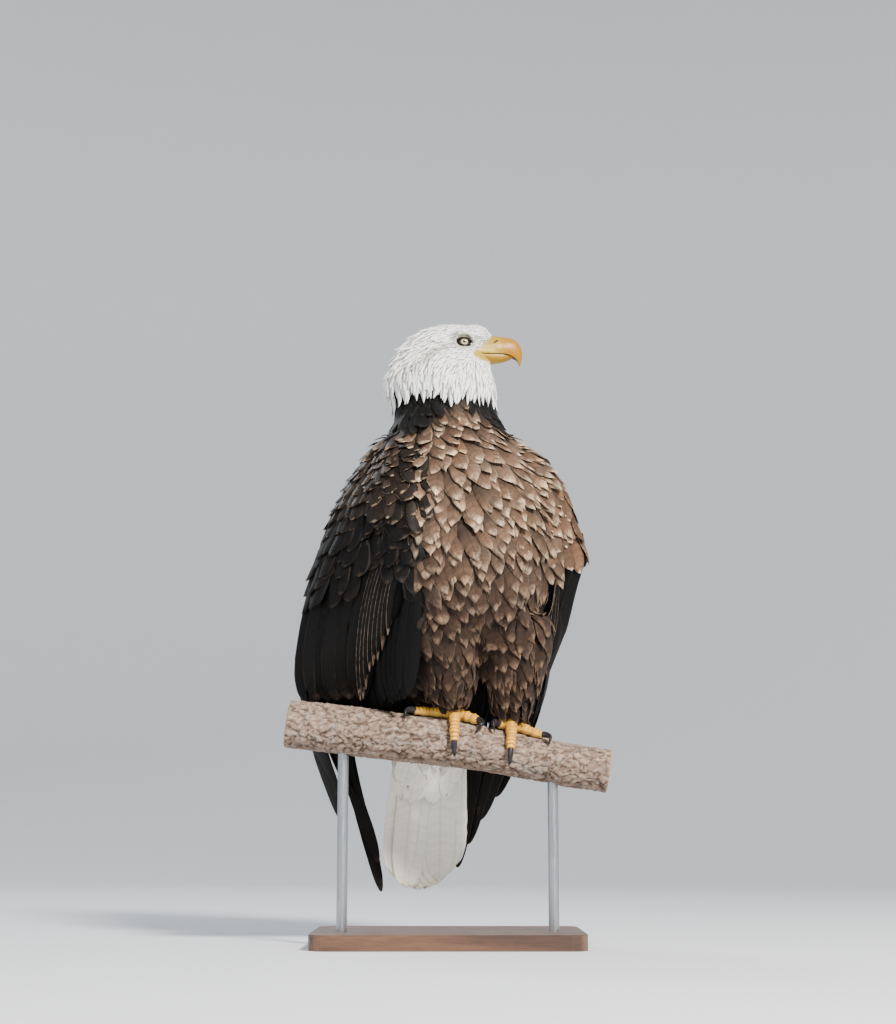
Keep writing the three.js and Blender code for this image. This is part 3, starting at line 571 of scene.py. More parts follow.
def laid(roots, directions, lengths, rows, *, base, slope, curl=0.0, stiff=0.5, hang=0.2):
    """Paths over the skin from the roots: a batch of centres and facings, each (feathers, rows + 1, 3).
    Each path rises from base by slope for each unit of length, and by curl more at its tip, so that it
    lies on the feathers rooted further down. stiff is how little a feather follows a hollow, and hang how
    much it keeps its first direction where the skin turns away."""
    shares = row_shares(rows)
    position, facing, _ = nearest(SKIN_TREE, roots)
    direction = directions
    centres, facings = [position], [facing]
    for step in np.diff(shares):
        direction = unit(direction - facing * dot(direction, facing) + hang * directions)
        position = position + direction * (step * lengths)[:, None]
        place, normal, _ = nearest(SKIN_TREE, position)
        gap = dot(position - place, normal)
        near = np.linalg.norm(position - place, axis=1, keepdims=True) < REACH
        position = np.where(near, place + normal * np.maximum(gap, 0) * stiff, position)
        facing = np.where(near, unit(facing + normal), facing)
        centres.append(position)
        facings.append(facing)
    centres, facings = np.stack(centres, 1), np.stack(facings, 1)
    base = np.asarray(base, float).reshape(-1, 1)
    lift = base + slope * shares * np.asarray(lengths)[:, None] + np.asarray(curl)[..., None] * shares ** 2.5
    return centres + facings * lift[..., None], facings


def strung(roots, tips, facings, rows, bow):
    """Paths from roots straight to tips, bowed along their facing."""
    shares = row_shares(rows)[None, :, None]
    centres = roots[:, None] + (tips - roots)[:, None] * shares
    side = facings[:, None] + 0 * centres
    return centres + side * (bow * np.sin(np.pi * shares ** 0.8)), side


def rolled(across, up, roll):
    """The directions across and up out of a feather, turned about its shaft."""
    turn = np.broadcast_to(np.asarray(roll, float).reshape(-1, 1, 1), (len(across), 1, 1))
    return across * np.cos(turn) + up * np.sin(turn), up * np.cos(turn) - across * np.sin(turn)


class Coat:
    """One piece of plumage: closed thin vanes gathered into a single mesh."""

    def __init__(self, name, material, slot, unwrap, seed):
        self.name, self.material, self.slot, self.unwrap = name, material, slot, unwrap
        self.rng = np.random.default_rng(seed)
        self.batches = []

    def add(self, lay, half, shape, base, edge, *, columns=6, camber=0.22, roll=0.0, ragged=0.12,
            thick=0.5 * MM, double=False):
        """Vanes of this half width round the laid paths. A double vane is as smooth below as above."""
        centres, facings = lay
        count, stations = centres.shape[:2]
        rng, shares = self.rng, row_shares(stations - 1)
        along = unit(np.gradient(centres, axis=1))
        across = unit(np.cross(along, facings))
        across, up = rolled(across, np.cross(across, along), roll)
        a = np.linspace(-1, 1, columns + 1)
        width = np.broadcast_to(np.asarray(half, float).reshape(-1, 1), (count, 1)) * outline(shares, *shape)
        rim = (abs(a) > 0.99) * fade(shares, 0.3, 0.7)[:, None]
        reach = width[..., None] * a * (1 - ragged * rim * rng.random((count, stations, columns + 1)))
        drop = camber * width[..., None] * a ** 2
        chance = rng.normal(0, 1, (count, 1, columns + 1))
        fray = ragged * width.max(1)[:, None, None] * (shares ** 8)[:, None] * chance
        top = (
            centres[:, :, None]
            + across[:, :, None] * reach[..., None]
            - up[:, :, None] * drop[..., None]
            + along[:, :, None] * fray[..., None]
        )
        grid = np.stack([np.tile(a, stations), np.repeat(shares, columns + 1)], 1)
        if double:
            below, lower = top - up[:, :, None] * thick, grid
        else:
            below, lower = centres - up * thick, np.stack([0 * shares, shares], 1)
        verts = np.concatenate([top.reshape(count, -1, 3), below.reshape(count, -1, 3)], 1)
        vane = np.zeros((count, verts.shape[1], 3))
        vane[..., :2] = np.concatenate([grid, lower])
        vane[..., 2] = rng.random(count)[:, None]
        size = np.linalg.norm(np.diff(centres, axis=1), axis=2).sum(1)
        base, edge = np.broadcast_to(base, (count, 3)), np.broadcast_to(edge, (count, 3))
        faces = vane_faces(stations - 1, columns, double)
        self.batches.append((verts, vane, size, base, edge, self.unwrap(centres[:, 0]), faces))

    def build(self, replaces=()):
        """Joins the batches into one piece."""
        verts, vane, size, base, edge, patch, quads, tris, flat = ([] for _ in range(9))
        shift = 0
        for points, coordinates, lengths, tone, rim, root, (four, three, smooth) in self.batches:
            count, each = points.shape[:2]
            offset = shift + np.arange(count)[:, None, None] * each
            quads.append((four + offset).reshape(-1, 4))
            tris.append((three + offset).reshape(-1, 3))
            flat.append(np.tile(np.arange(len(four)) >= smooth, count))
            verts.append(points.reshape(-1, 3))
            vane.append(coordinates.reshape(-1, 3))
            for store, value in ((size, lengths), (base, tone), (edge, rim), (patch, root)):
                store.append(np.repeat(value, each, 0))
            shift += count * each
        verts, vane, size, base, edge, patch, quads, tris, flat = (
            np.concatenate(x) for x in (verts, vane, size, base, edge, patch, quads, tris, flat)
        )
        mesh, loops = mesh_of(self.name, verts, quads, tris, np.concatenate([flat, np.ones(len(tris), bool)]))
        add_attribute(mesh, "vane", "FLOAT_VECTOR", vane)
        add_attribute(mesh, "size", "FLOAT", size)
        add_attribute(mesh, "base", "FLOAT_COLOR", base)
        add_attribute(mesh, "edge", "FLOAT_COLOR", edge)
        spread = np.stack([vane[:, 0] / 2, vane[:, 1] - 0.5], 1) * PATCH
        uv = mesh.uv_layers.new(name="OFBake")
        uv.data.foreach_set("uv", (patch + spread)[loops].astype(np.float32).ravel())
        return add_piece(self.name, mesh, self.material, replaces)


PATCH = 0.003  # the size of a feather's patch on its coat's unwrap
NO_TRIANGLES = np.zeros((0, 3), int)


def vane_faces(rows, columns, double):
    """Faces of one closed vane, and how many of its quads are smooth. Below it has a second grid, or only a
    spine that the two strips of its underside meet at."""
    grid = np.arange((rows + 1) * (columns + 1)).reshape(rows + 1, columns + 1)
    upper = np.stack([grid[:-1, :-1], grid[:-1, 1:], grid[1:, 1:], grid[1:, :-1]], -1).reshape(-1, 4)
    if double:
        rim = np.concatenate([grid[0, :-1], grid[:-1, -1], grid[-1, :0:-1], grid[:0:-1, 0]])
        after = np.roll(rim, -1)
        band = np.stack([after, rim, rim + grid.size, after + grid.size], -1)
        quads = np.concatenate([upper, upper[:, ::-1] + grid.size, band])
        return quads, NO_TRIANGLES, 2 * len(upper)
    spine = grid.size + np.arange(rows + 1)
    left, right = grid[:, 0], grid[:, -1]
    under = np.concatenate([
        np.stack([left[:-1], left[1:], spine[1:], spine[:-1]], -1),
        np.stack([spine[:-1], spine[1:], right[1:], right[:-1]], -1),
    ])
    ends = [(spine[0], grid[0, c + 1], grid[0, c]) for c in range(columns)]
    ends += [(spine[-1], grid[-1, c], grid[-1, c + 1]) for c in range(columns)]
    return np.concatenate([upper, under]), np.array(ends), len(upper)


BODY_FOOT, BODY_HEIGHT = -0.25, 0.72  # what the unwrap of the body spans
HEAD_MIDDLE = in_head(0, 0, 0.470)


def unwrapped(angle):
    """A place across an unwrap, which keeps clear of its sides."""
    return 0.5 + 0.97 * angle / (2 * np.pi)


def around_body(points):
    """An unwrap of the body's skin: the angle round its axis, and the height."""
    angle = np.arctan2(points[:, 0], BODY_AXIS_Y - points[:, 1])
    up = (points[:, 2] - BODY_FOOT) / BODY_HEIGHT
    return np.stack([unwrapped(angle), np.clip(up, 0.01, 0.99)], 1)


def around_head(points):
    """An unwrap of the head's skin: the angle round its upright axis, and the angle down from its crown."""
    offset = points - HEAD_MIDDLE
    angle = np.arctan2(offset @ HEAD_ACROSS, offset @ HEAD_AHEAD)
    down = np.arccos(np.clip(unit(offset)[:, 2], -1, 1))
    return np.stack([unwrapped(angle), 0.02 + 0.96 * down / np.pi], 1)


def thinned(points, spacing):
    """Indexes of the points to keep, so that none is nearer than its spacing to one kept before it."""
    cell = float(spacing.max())
    taken = {}
    kept = []
    cells = np.floor(points / cell).astype(int).tolist()
    block = [(i, j, k) for i in (-1, 0, 1) for j in (-1, 0, 1) for k in (-1, 0, 1)]
    nearest_allowed = (spacing ** 2).tolist()
    for index, ((x, y, z), (i, j, k), least) in enumerate(zip(points.tolist(), cells, nearest_allowed)):
        crowded = any(
            (x - px) ** 2 + (y - py) ** 2 + (z - pz) ** 2 < least
            for di, dj, dk in block
            for px, py, pz in taken.get((i + di, j + dj, k + dk), ())
        )
        if not crowded:
            kept.append(index)
            taken.setdefault((i, j, k), []).append((x, y, z))
    return np.array(kept)


def spots(mask, spacing, count, seed, lowest_facing=-2.0):
    """Roots, and the skin's facings there, spread over the part of the skin where mask holds and which
    doesn't face down more than lowest_facing."""
    points = SKIN.sample(count, np.random.default_rng(seed))
    places, facings, _ = nearest(SKIN_TREE, points)
    keep = np.nonzero(mask(places) & (facings[:, 2] > lowest_facing))[0]
    places, facings = places[keep], facings[keep]
    chosen = thinned(places, spacing(places))
    return places[chosen], facings[chosen]


def belongs(points, *names):
    """Whether each point belongs to one of these CAD nodes."""
    owner = FLESH_OWNER[nearest(FLESH_TREE, points)[2]]
    return np.isin(owner, [FLESH.index(name) for name in names])


def jittered(directions, facings, spread, rng):
    """Directions turned about their facing by a random angle."""
    turn = rng.normal(0, spread, (len(directions), 1))
    return directions * np.cos(turn) + np.cross(facings, directions) * np.sin(turn)


def toned(colour, rng, count, spread=0.12, warmth=0.04):
    """The colour for each feather, lighter or darker and warmer or cooler by chance."""
    value = np.exp(rng.normal(0, spread, (count, 1)))
    warm = rng.normal(0, warmth, (count, 1)) * np.array([1, 0, -1])
    return np.clip(np.broadcast_to(colour, (count, 3)) * value * (1 + warm), 0, 0.95)


# ---------------------------------------------------------------- plumage of the body
BREAST, BREAST_EDGE = srgb(100, 77, 60), srgb(192, 164, 136)
BELLY, BELLY_EDGE = srgb(54, 39, 30), srgb(110, 87, 68)
MANTLE, MANTLE_EDGE = srgb(50, 40, 34), srgb(104, 86, 69)
SHOULDER, SHOULDER_EDGE = srgb(44, 35, 29), srgb(160, 138, 114)
COLLAR, COLLAR_EDGE = srgb(13, 11, 10), srgb(30, 25, 21)
WHITE, WHITE_EDGE = srgb(247, 246, 242), srgb(250, 249, 247)
CREAM, CREAM_EDGE = srgb(250, 246, 234), srgb(236, 224, 198)
DARK, DARK_EDGE = srgb(10, 8, 7), srgb(46, 37, 30)
# painted shade: near-black for feathers and skin that stand where only shade shows, under the right wing and
# behind the legs
PAINTED_SHADE, PAINTED_SHADE_EDGE = srgb(5, 4, 4), srgb(12, 10, 8)
STREAK_EDGE = srgb(128, 110, 92)
# grey of the lores, also used for painted shade round the eyes and under the brows
LORE_AND_SHADE = srgb(132, 128, 114)
# painted shade: the body's skin is darker than its feathers, so that gaps between them read as shade
SKIN_GAP_SHADE_FRONT, SKIN_GAP_SHADE_BACK = srgb(44, 34, 29), srgb(24, 20, 19)
SKIN_WHITE, SKIN_TAIL = srgb(226, 223, 216), srgb(216, 210, 196)

WHITE_FROM = 0.447  # height of the lowest white roots at the nape, above which only the head's feathers grow
WHITE_FROM_THROAT = 0.434


def above_collar(points):
    """How far above the lowest white roots points lie."""
    forward = head_coordinates(points)[0]
    return points[..., 2] - mix(WHITE_FROM, WHITE_FROM_THROAT, fade(forward, -0.016, 0.008))


def body_front(points):
    """1 on the breast, 0 on the back."""
    return fade(BODY_AXIS_Y - points[:, 1], -0.035, 0.045)


def body_flow(points):
    """The lie of the body's feathers: down, spreading from the neck to the sides."""
    x, _, z = points.T
    spread = fade(z, 0.15, 0.33) * (1 - 0.5 * fade(z, 0.36, 0.42))
    lean = np.clip(4.6 * (x + 0.045), -0.45, 0.72) * spread * body_front(points)
    back = 0.25 * (1 - body_front(points))
    return unit(np.stack([lean + 0.08 * body_front(points), back, -np.ones_like(z)], 1))


def on_scapulars(points):
    """Where the breast gives way to the right wing's small rounded coverts."""
    x, y, z = points.T
    edge = mix(-0.088, -0.060, fade(z, 0.27, 0.33))
    return (x < edge) & (y < BODY_AXIS_Y) & (z > 0.235) & (z < 0.372)


def under_wings(points):
    """Where the wings hide the trunk, and round the lower end of the right wing's skin."""
    x, y, z = points.T
    return ((abs(x) > 0.098) & (z < 0.21)) | ((x < -0.078) & (z < 0.122) & (y < 0.07))


def build_scapulars():
    coat = Coat("plumage_scapulars", WING_FEATHER, "wing_feathers", around_body, 47)

    def mask(places):
        return on_scapulars(places) & belongs(places, "trunk")

    place, facing = spots(mask, lambda p: np.full(len(p), 10.5 * MM), 60000, 25)
    rng, count = coat.rng, len(place)
    length = mix(48, 34, fade(place[:, 2], 0.28, 0.36)) * MM * rng.uniform(0.85, 1.15, count)
    rimmed = rng.random((count, 1)) ** 0.5 * fade(place[:, 2], 0.25, 0.31)[:, None]
    base, edge = mix(DARK, SHOULDER, rimmed), mix(DARK_EDGE, SHOULDER_EDGE, rimmed)
    lean = np.broadcast_to(unit(np.array([0.18, 0.0, -1.0])), (count, 3))
    lay = laid(place, jittered(lean, facing, 0.28, rng), length, 9, base=2.2 * MM, slope=0.11,
               curl=rng.gamma(1.6, 1.4, count) * MM, stiff=0.6)
    half = length * rng.uniform(0.29, 0.36, count)
    base, edge = toned(base, rng, count, 0.18), toned(edge, rng, count, 0.2)
    coat.add(lay, half, BROAD, base, edge, roll=rng.normal(0.06, 0.12, count), ragged=0.08)
    coat.build()


UNDERSIDE = -0.86  # a root's facing may point down no more than this


def body_tones(place):
    """The colours of the body's feathers, and of their rims, by where they root, with painted shade beside
    the right wing.
    """
    x, _, z = place.T
    front = body_front(place)
    aside = np.clip(abs(x + 0.006) / 0.040, 0, 1)
    collar_foot = mix(0.375, mix(0.416, 0.384, aside ** 1.6), front ** 2)
    collar = fade(z, collar_foot, collar_foot + 0.010)
    belly = fade(z, 0.31, 0.13)
    rump = fade(z, 0.014, -0.002)
    # painted shade: low beside the right wing the breast's feathers take the wing's near-black; higher up,
    # the shoulder's colours
    shade_under_wing = fade(-x, 0.080, 0.094) * front
    shoulder = fade(z, 0.24, 0.32)[:, None]
    tones = []
    for back, breast, low, white, wing, lesser, neck in (
        (MANTLE, BREAST, BELLY, CREAM, DARK, SHOULDER, COLLAR),
        (MANTLE_EDGE, BREAST_EDGE, BELLY_EDGE, WHITE_EDGE, DARK_EDGE, SHOULDER_EDGE, COLLAR_EDGE),
    ):
        tone = mix(back, mix(breast, low, belly[:, None]), front[:, None])
        tone = mix(tone, white, rump[:, None])
        tone = mix(tone, mix(wing, lesser, shoulder), shade_under_wing[:, None])
        tones.append(mix(tone, neck, collar[:, None]))
    return tones


def build_body():
    def mask(places):
        own = belongs(places, "trunk", "neck", "head") & (above_collar(places) < 0)
        return own & ~on_scapulars(places) & ~under_wings(places)

    def spacing(places):
        return mix(11.5, 7.5, fade(places[:, 2], 0.34, 0.42)) * MM

    roots, facings = spots(mask, spacing, 34000, 21, lowest_facing=UNDERSIDE)
    for half_name, chosen in (("front", roots[:, 1] < BODY_AXIS_Y), ("back", roots[:, 1] >= BODY_AXIS_Y)):
        coat = Coat("plumage_body_" + half_name, BODY_FEATHER, "body_feathers", around_body, 31)
        place, facing = roots[chosen], facings[chosen]
        rng, count = coat.rng, len(place)
        z, front = place[:, 2], body_front(place)
        length = mix(54, 32, fade(z, 0.33, 0.42)) * MM * rng.uniform(0.8, 1.15, count)
        half = length * rng.uniform(0.22, 0.28, count)
        base, edge = (toned(tone, rng, count, 0.16) for tone in body_tones(place))
        curl = rng.gamma(1.6, 1.3, count) * MM * mix(0.5, 1.0, front)
        directions = jittered(body_flow(place), facing, 0.17, rng)
        neck = fade(z, 0.405, 0.43)
        lay = laid(place, directions, length, 9, base=mix(1.8, 0.5, neck) * MM,
                   slope=mix(0.115, 0.06, neck)[:, None], curl=curl * (1 - 0.7 * neck))
        shape = (0.4, rng.uniform(2.2, 3.6, count), rng.uniform(0.5, 0.95, count))
        roll = rng.normal(0.05, 0.12, count)
        coat.add(lay, half, shape, base, edge, roll=roll, ragged=0.18, thick=0.4 * MM)
        coat.build()


# Curtains of painted shade, near-black feathers where beside the legs and behind the perch only shade shows:
# the first and last roots and tips, how many.
SHADE_CURTAINS = (
    ((-88, -66, 150), (-112, 66, 138), (-96, -26, 22), (-104, 84, 4), 9),
    ((-95, -59, 150), (-119, 73, 138), (-104, -20, 26), (-112, 90, 8), 9),
    ((-44, 62, 122), (-158, 108, 112), (-50, 84, -30), (-160, 118, -34), 9),
    ((-24, 34, 84), (66, 34, 84), (-16, 46, -16), (52, 46, -16), 8),
)


def build_shade_curtains():
    """Painted shade: near-black feathers hung between the right wing's leading edge and the leg, and behind
    the perch.
    """
    coat = Coat("plumage_shade_curtains", WING_FEATHER, "wing_feathers", around_body, 45)
    rng = coat.rng
    for first_root, last_root, first_tip, last_tip, count in SHADE_CURTAINS:
        share = np.linspace(0, 1, count)[:, None]
        roots = mix(np.array(first_root), np.array(last_root), share) * MM
        tips = mix(np.array(first_tip), np.array(last_tip), share) * MM
        tips[:, 2] += rng.normal(0, 3, count) * MM
        facings = np.broadcast_to(unit(np.array([-0.6, -0.8, 0.0])), (count, 3))
        lay = strung(roots, tips, facings, 14, 4 * MM)
        # painted shade: near-black tones
        base, edge = toned(PAINTED_SHADE, rng, count, 0.12), toned(PAINTED_SHADE_EDGE, rng, count, 0.12)
        roll = rng.normal(0.1, 0.1, count)
        coat.add(lay, 13 * MM, CONTOUR, base, edge, camber=0.25, roll=roll, ragged=0.12, double=True)
    coat.build()


def build_thighs():
    coat = Coat("plumage_thighs", BODY_FEATHER, "body_feathers", around_body, 41)

    def mask(places):
        return belongs(places, "thigh_right", "thigh_left") & ~under_wings(places)

    place, facing = spots(mask, lambda p: np.full(len(p), 9.5 * MM), 9000, 22)
    rng, count = coat.rng, len(place)
    length = mix(48, 36, fade(place[:, 2], 0.08, 0.02)) * MM * rng.uniform(0.85, 1.15, count)
    # painted shade: the thigh's feathers under the right wing darken to the wing's near-black
    shade_under_wing = fade(-place[:, 0], 0.072, 0.086)[:, None]
    base = toned(mix(BELLY * 0.9, DARK, shade_under_wing), rng, count, 0.14)
    edge = toned(mix(BELLY_EDGE * 0.92, DARK_EDGE, shade_under_wing), rng, count, 0.14)
    down = np.broadcast_to(np.array([0.03, 0.0, -1.0]), (count, 3))
    curl = rng.gamma(1.5, 1.0, count) * MM
    lay = laid(place, jittered(down, facing, 0.14, rng), length, 8, base=1.5 * MM, slope=0.07,
               curl=curl, stiff=0.9, hang=1.2)
    coat.add(lay, length * 0.22, SOFT, base, edge, roll=rng.normal(0, 0.12, count), ragged=0.25)
    coat.build()


# ---------------------------------------------------------------- head
EYE_OPENING = (8.4 * MM, 3.7 * MM, 4.6 * MM)  # half sizes of the gap between the lids: along, above, below
LID_REACH = 14.0 * MM
LID_TILT = math.radians(9)


def head_flow(points):
    """The lie of the head's feathers: back from the bill, turning down over the cheeks, nape and neck."""
    forward, side, height = head_coordinates(points)
    behind = fade(forward, 0.030, -0.065)
    below = fade(height, 0.512, 0.440)
    throat = fade(forward, 0.015, 0.050)
    down = np.clip(0.14 + 0.5 * behind + mix(0.6, 0.9, throat) * below, 0, 1)[:, None]
    direction = -(1 - down) * HEAD_AHEAD - down * UP
    swell = np.clip(side / 0.05, -1, 1)[:, None] * HEAD_ACROSS * 0.15
    return unit(direction + swell)


def clear_of_eyes(lay, lengths):
    """How much of each feather's length may stay, so that none lies across an eye."""
    centres, _ = lay
    shares = row_shares(centres.shape[1] - 1)
    keep = np.ones(len(lengths))
    for side in WINGS.values():
        off_axis, out = off_gaze(centres, side)
        inside = (off_axis < 9.4 * MM) & (out > 0)
        first = np.where(inside.any(1), shares[np.argmax(inside, 1)], 1.0)
        keep = np.minimum(keep, first)
    return keep


def painted_shadow_stripe(forward, height):
    """1 along a painted shadow, a grey line from over the eye back and down to the nape, 0 away from it."""
    line = np.interp(forward, SHADOW_STRIPE["forward"], SHADOW_STRIPE["height"])
    wide = np.interp(forward, SHADOW_STRIPE["forward"], SHADOW_STRIPE["half"])
    return np.exp(-((height - line) / wide) ** 2) * fade(forward, -0.075, -0.055)


# painted shadow behind the eye: forward, height of the line and half width
SHADOW_STRIPE = {
    "forward": np.array([-65, -43, -13, 13, 28, 47]) * MM,
    "height": np.array([454, 471, 485, 495, 506, 503]) * MM,
    "half": np.array([7, 7, 6, 4.5, 2.6, 2.2]) * MM,
}


def build_head():
    def bare(places):
        """Where the head shows skin: at the bill, the gape and the eyes."""
        eyes = np.zeros(len(places), bool)
        for sign in WINGS.values():
            off_axis, out = off_gaze(places, sign)
            eyes |= (off_axis < 9.8 * MM) & (out > 0)
        return (past_feathers(places) > -1.0 * MM) | eyes

    def mask(places):
        inside = belongs(places, "head", "neck", "trunk") & (above_collar(places) >= 0)
        inside[inside] = ~bare(places[inside])
        return inside

    def face(places):
        """1 on the face, 0 towards the nape and the neck."""
        forward, _, height = head_coordinates(places)
        return fade(forward, -0.012, 0.040) * fade(height, 0.450, 0.485)

    def spacing(places):
        low = fade(head_coordinates(places)[2], 0.475, 0.445)
        return mix(mix(3.4, 4.8, low), 1.9, face(places)) * MM

    roots, facings = spots(mask, spacing, 160000, 23)
    on_face = face(roots) > 0.35  # two pieces, to stay under the limit of triangles
    for name, chosen in (("plumage_face", on_face), ("plumage_nape", ~on_face)):
        coat = Coat(name, HEAD_FEATHER, "head_feathers", around_head, 51)
        place, facing = roots[chosen], facings[chosen]
        rng, count = coat.rng, len(place)
        forward, _, height = head_coordinates(place)
        ahead = face(place)
        behind = fade(forward, 0.01, -0.05)
        low = fade(height, 0.485, 0.445)
        length = mix(mix(18, mix(31, 37, behind), np.maximum(behind, low)), 6.5, ahead)
        length *= rng.uniform(0.8, 1.2, count) * MM
        # grey lores with painted brow shade, painted shade round the eye and the painted shadow stripe behind
        # it
        lore_and_shade = fade(forward, 0.032, 0.044) * fade(height, 0.489, 0.494) * fade(height, 0.513, 0.506)
        round_eye = np.hypot(forward - EYE["forward"], height - EYE["height"] - 2 * MM)
        lore_and_shade = np.maximum(lore_and_shade, 0.9 * fade(round_eye, 0.0165, 0.0105))
        lore_and_shade = np.maximum(lore_and_shade, 0.8 * painted_shadow_stripe(forward, height))
        length *= mix(1.0, 0.55, lore_and_shade)
        base = toned(mix(WHITE, LORE_AND_SHADE, 0.7 * lore_and_shade[:, None]), rng, count, 0.05, 0.01)
        edge = toned(mix(WHITE_EDGE, LORE_AND_SHADE, 0.45 * lore_and_shade[:, None]), rng, count, 0.03, 0.01)
        directions = jittered(head_flow(place), facing, mix(0.16, 0.1, ahead)[:, None], rng)
        curl = rng.gamma(1.4, mix(0.7, 1.5, behind), count) * MM * (1 - 0.7 * ahead)
        rise = {"base": mix(0.5, 2.0, low) * MM, "slope": mix(0.075, 0.08, ahead)[:, None], "curl": curl}
        lay = laid(place, directions, length, 5, **rise)
        keep = clear_of_eyes(lay, length)
        stay = keep > 0.35
        rise = {key: value[stay] for key, value in rise.items()}
        length = (length * np.where(keep < 1, keep * 0.9, 1))[stay]
        lay = laid(place[stay], directions[stay], length, 5, **rise)
        half = length * mix(0.13, 0.17, ahead[stay]) + 0.5 * MM
        shape = (0.3, rng.uniform(1.3, 2.6, stay.sum()), 0.9)
        coat.add(lay, half, shape, base[stay], edge[stay], columns=2, camber=0.3,
                 roll=rng.normal(0, 0.2, stay.sum()), ragged=0.1, thick=0.35 * MM)
        coat.build()


# ---------------------------------------------------------------- wings
# Where the secondaries end: shares round the wing, and the heights there.
HEM_SHARES, HEM_HEIGHTS = (0, 0.3, 0.5, 0.75, 1), np.array((17, 22, 21, 32, 92)) * MM
WING_TOP, COVERTS_FOOT = 0.372, 0.205

# Heights, then the leading, widest and trailing points of the outer face as [out, back], in mm.
WING_SECTIONS = {
    "right": [
        (375, 70, -6, 82, 32, 58, 76), (362, 80, -34, 104, 42, 54, 104), (335, 87, -58, 127, 58, 48, 132),
        (281, 90, -85, 157, 66, 42, 149), (200, 98, -88, 186, 80, 40, 161), (146, 109, -56, 196, 88, 44, 167),
        (92, 106, -20, 203, 98, 50, 172), (32, 94, 48, 198, 114, 58, 180),
    ],
    "left": [
        (375, 66, 0, 82, 26, 58, 76), (362, 74, -14, 106, 26, 54, 104), (335, 84, -40, 134, -4, 48, 132),
        (281, 94, -62, 155, -12, 42, 149), (200, 100, -62, 168, -8, 40, 161), (146, 98, -48, 145, 4, 44, 167),
        (92, 92, -30, 133, 18, 50, 172), (32, 84, 16, 124, 58, 58, 180),
    ],
}


class WingFace:
    """The outer face of a folded wing: share runs round it from its leading to its trailing edge."""

    def __init__(self, name):
        self.side = WINGS[name]
        self.hull, _ = node_tree([f"wing_{name}_coverts", f"wing_{name}_secondaries"])
        self.sections = np.array(WING_SECTIONS[name])[::-1] * MM

    def points(self, share, height, tree=None):
        """Places at these shares and heights, on the skin or on another surface."""
        tree = tree or SKIN_TREE
        share, height = np.broadcast_arrays(share, height)
        columns = [np.interp(height, self.sections[:, 0], self.sections[:, k]) for k in range(1, 7)]
        lead, wide, trail = (np.stack(columns[k:k + 2], -1) for k in (0, 2, 4))
        pull = 2 * wide - (lead + trail) / 2
        t = share[..., None]
        place = (1 - t) ** 2 * lead + 2 * t * (1 - t) * pull + t ** 2 * trail
        run = (1 - t) * (pull - lead) + t * (trail - pull)
        place = place + unit(np.stack([run[..., 1], -run[..., 0]], -1)) * 12 * MM
        place = np.stack([place[..., 0] * self.side, place[..., 1], height], -1)
        return nearest(tree, place.reshape(-1, 3))[0].reshape(place.shape)

    def row(self, height, pitch, offset, slope):
        """Shares and heights of a row of roots a pitch apart."""
        probe = np.linspace(0.0, 1.0, 25)
        line = self.points(probe, height - slope * probe)
        run = np.concatenate([[0], np.cumsum(np.linalg.norm(np.diff(line, axis=0), axis=1))])
        count = max(int(run[-1] / pitch), 2)
        share = np.interp((np.arange(count) + offset) / count * run[-1], run, probe)
        return share, height - slope * share

    def hung(self, share, root, tip, rows, inset, drift=0.0):
        """Paths down the folded wing's outer face from heights root to tip, set in from it."""
        shares = row_shares(rows)
        height = mix(root[:, None], tip[:, None], shares)
        around = np.clip(share[:, None] + drift * shares, 0.02, 0.98)
        held = np.maximum(height, np.interp(around, HEM_SHARES, HEM_HEIGHTS) + 5 * MM)
        centres = self.points(around, held, self.hull)
        above = self.points(around, held + 10 * MM, self.hull)
        run = self.points(around + 0.02, held, self.hull) - self.points(around - 0.02, held, self.hull)
        facings = unit(np.cross(run, above - centres))
        facings = facings * np.sign(dot(facings, centres - np.array([0, BODY_AXIS_Y, 0]) - centres * UP))
        centres = centres + unit(centres - above) * (held - height)[..., None]
        for _ in range(6):
            for line in (centres, facings):
                line[:, 1:-1] = (line[:, :-2] + 2 * line[:, 1:-1] + line[:, 2:]) / 4
        facings = unit(facings)
        return centres - facings * np.asarray(inset).reshape(-1, 1, 1), facings


def wing_flow(points, share):
    """The lie of a folded wing's feathers: down, and towards the tail away from the leading edge."""
    back = 0.34 * fade(share, 0.05, 0.35) * fade(points[:, 2], 0.02, 0.3)
    return unit(np.stack([np.zeros(len(points)), back, -np.ones(len(points))], 1))


def grows_coverts(name, share, level):
    """Everywhere but low at the open front of the right wing, and low on the left wing's front half."""
    if name == "right":
        return level > mix(0.300, 0.215, fade(share, 0.02, 0.16))
    return (level > 0.238) | (share > 0.45)


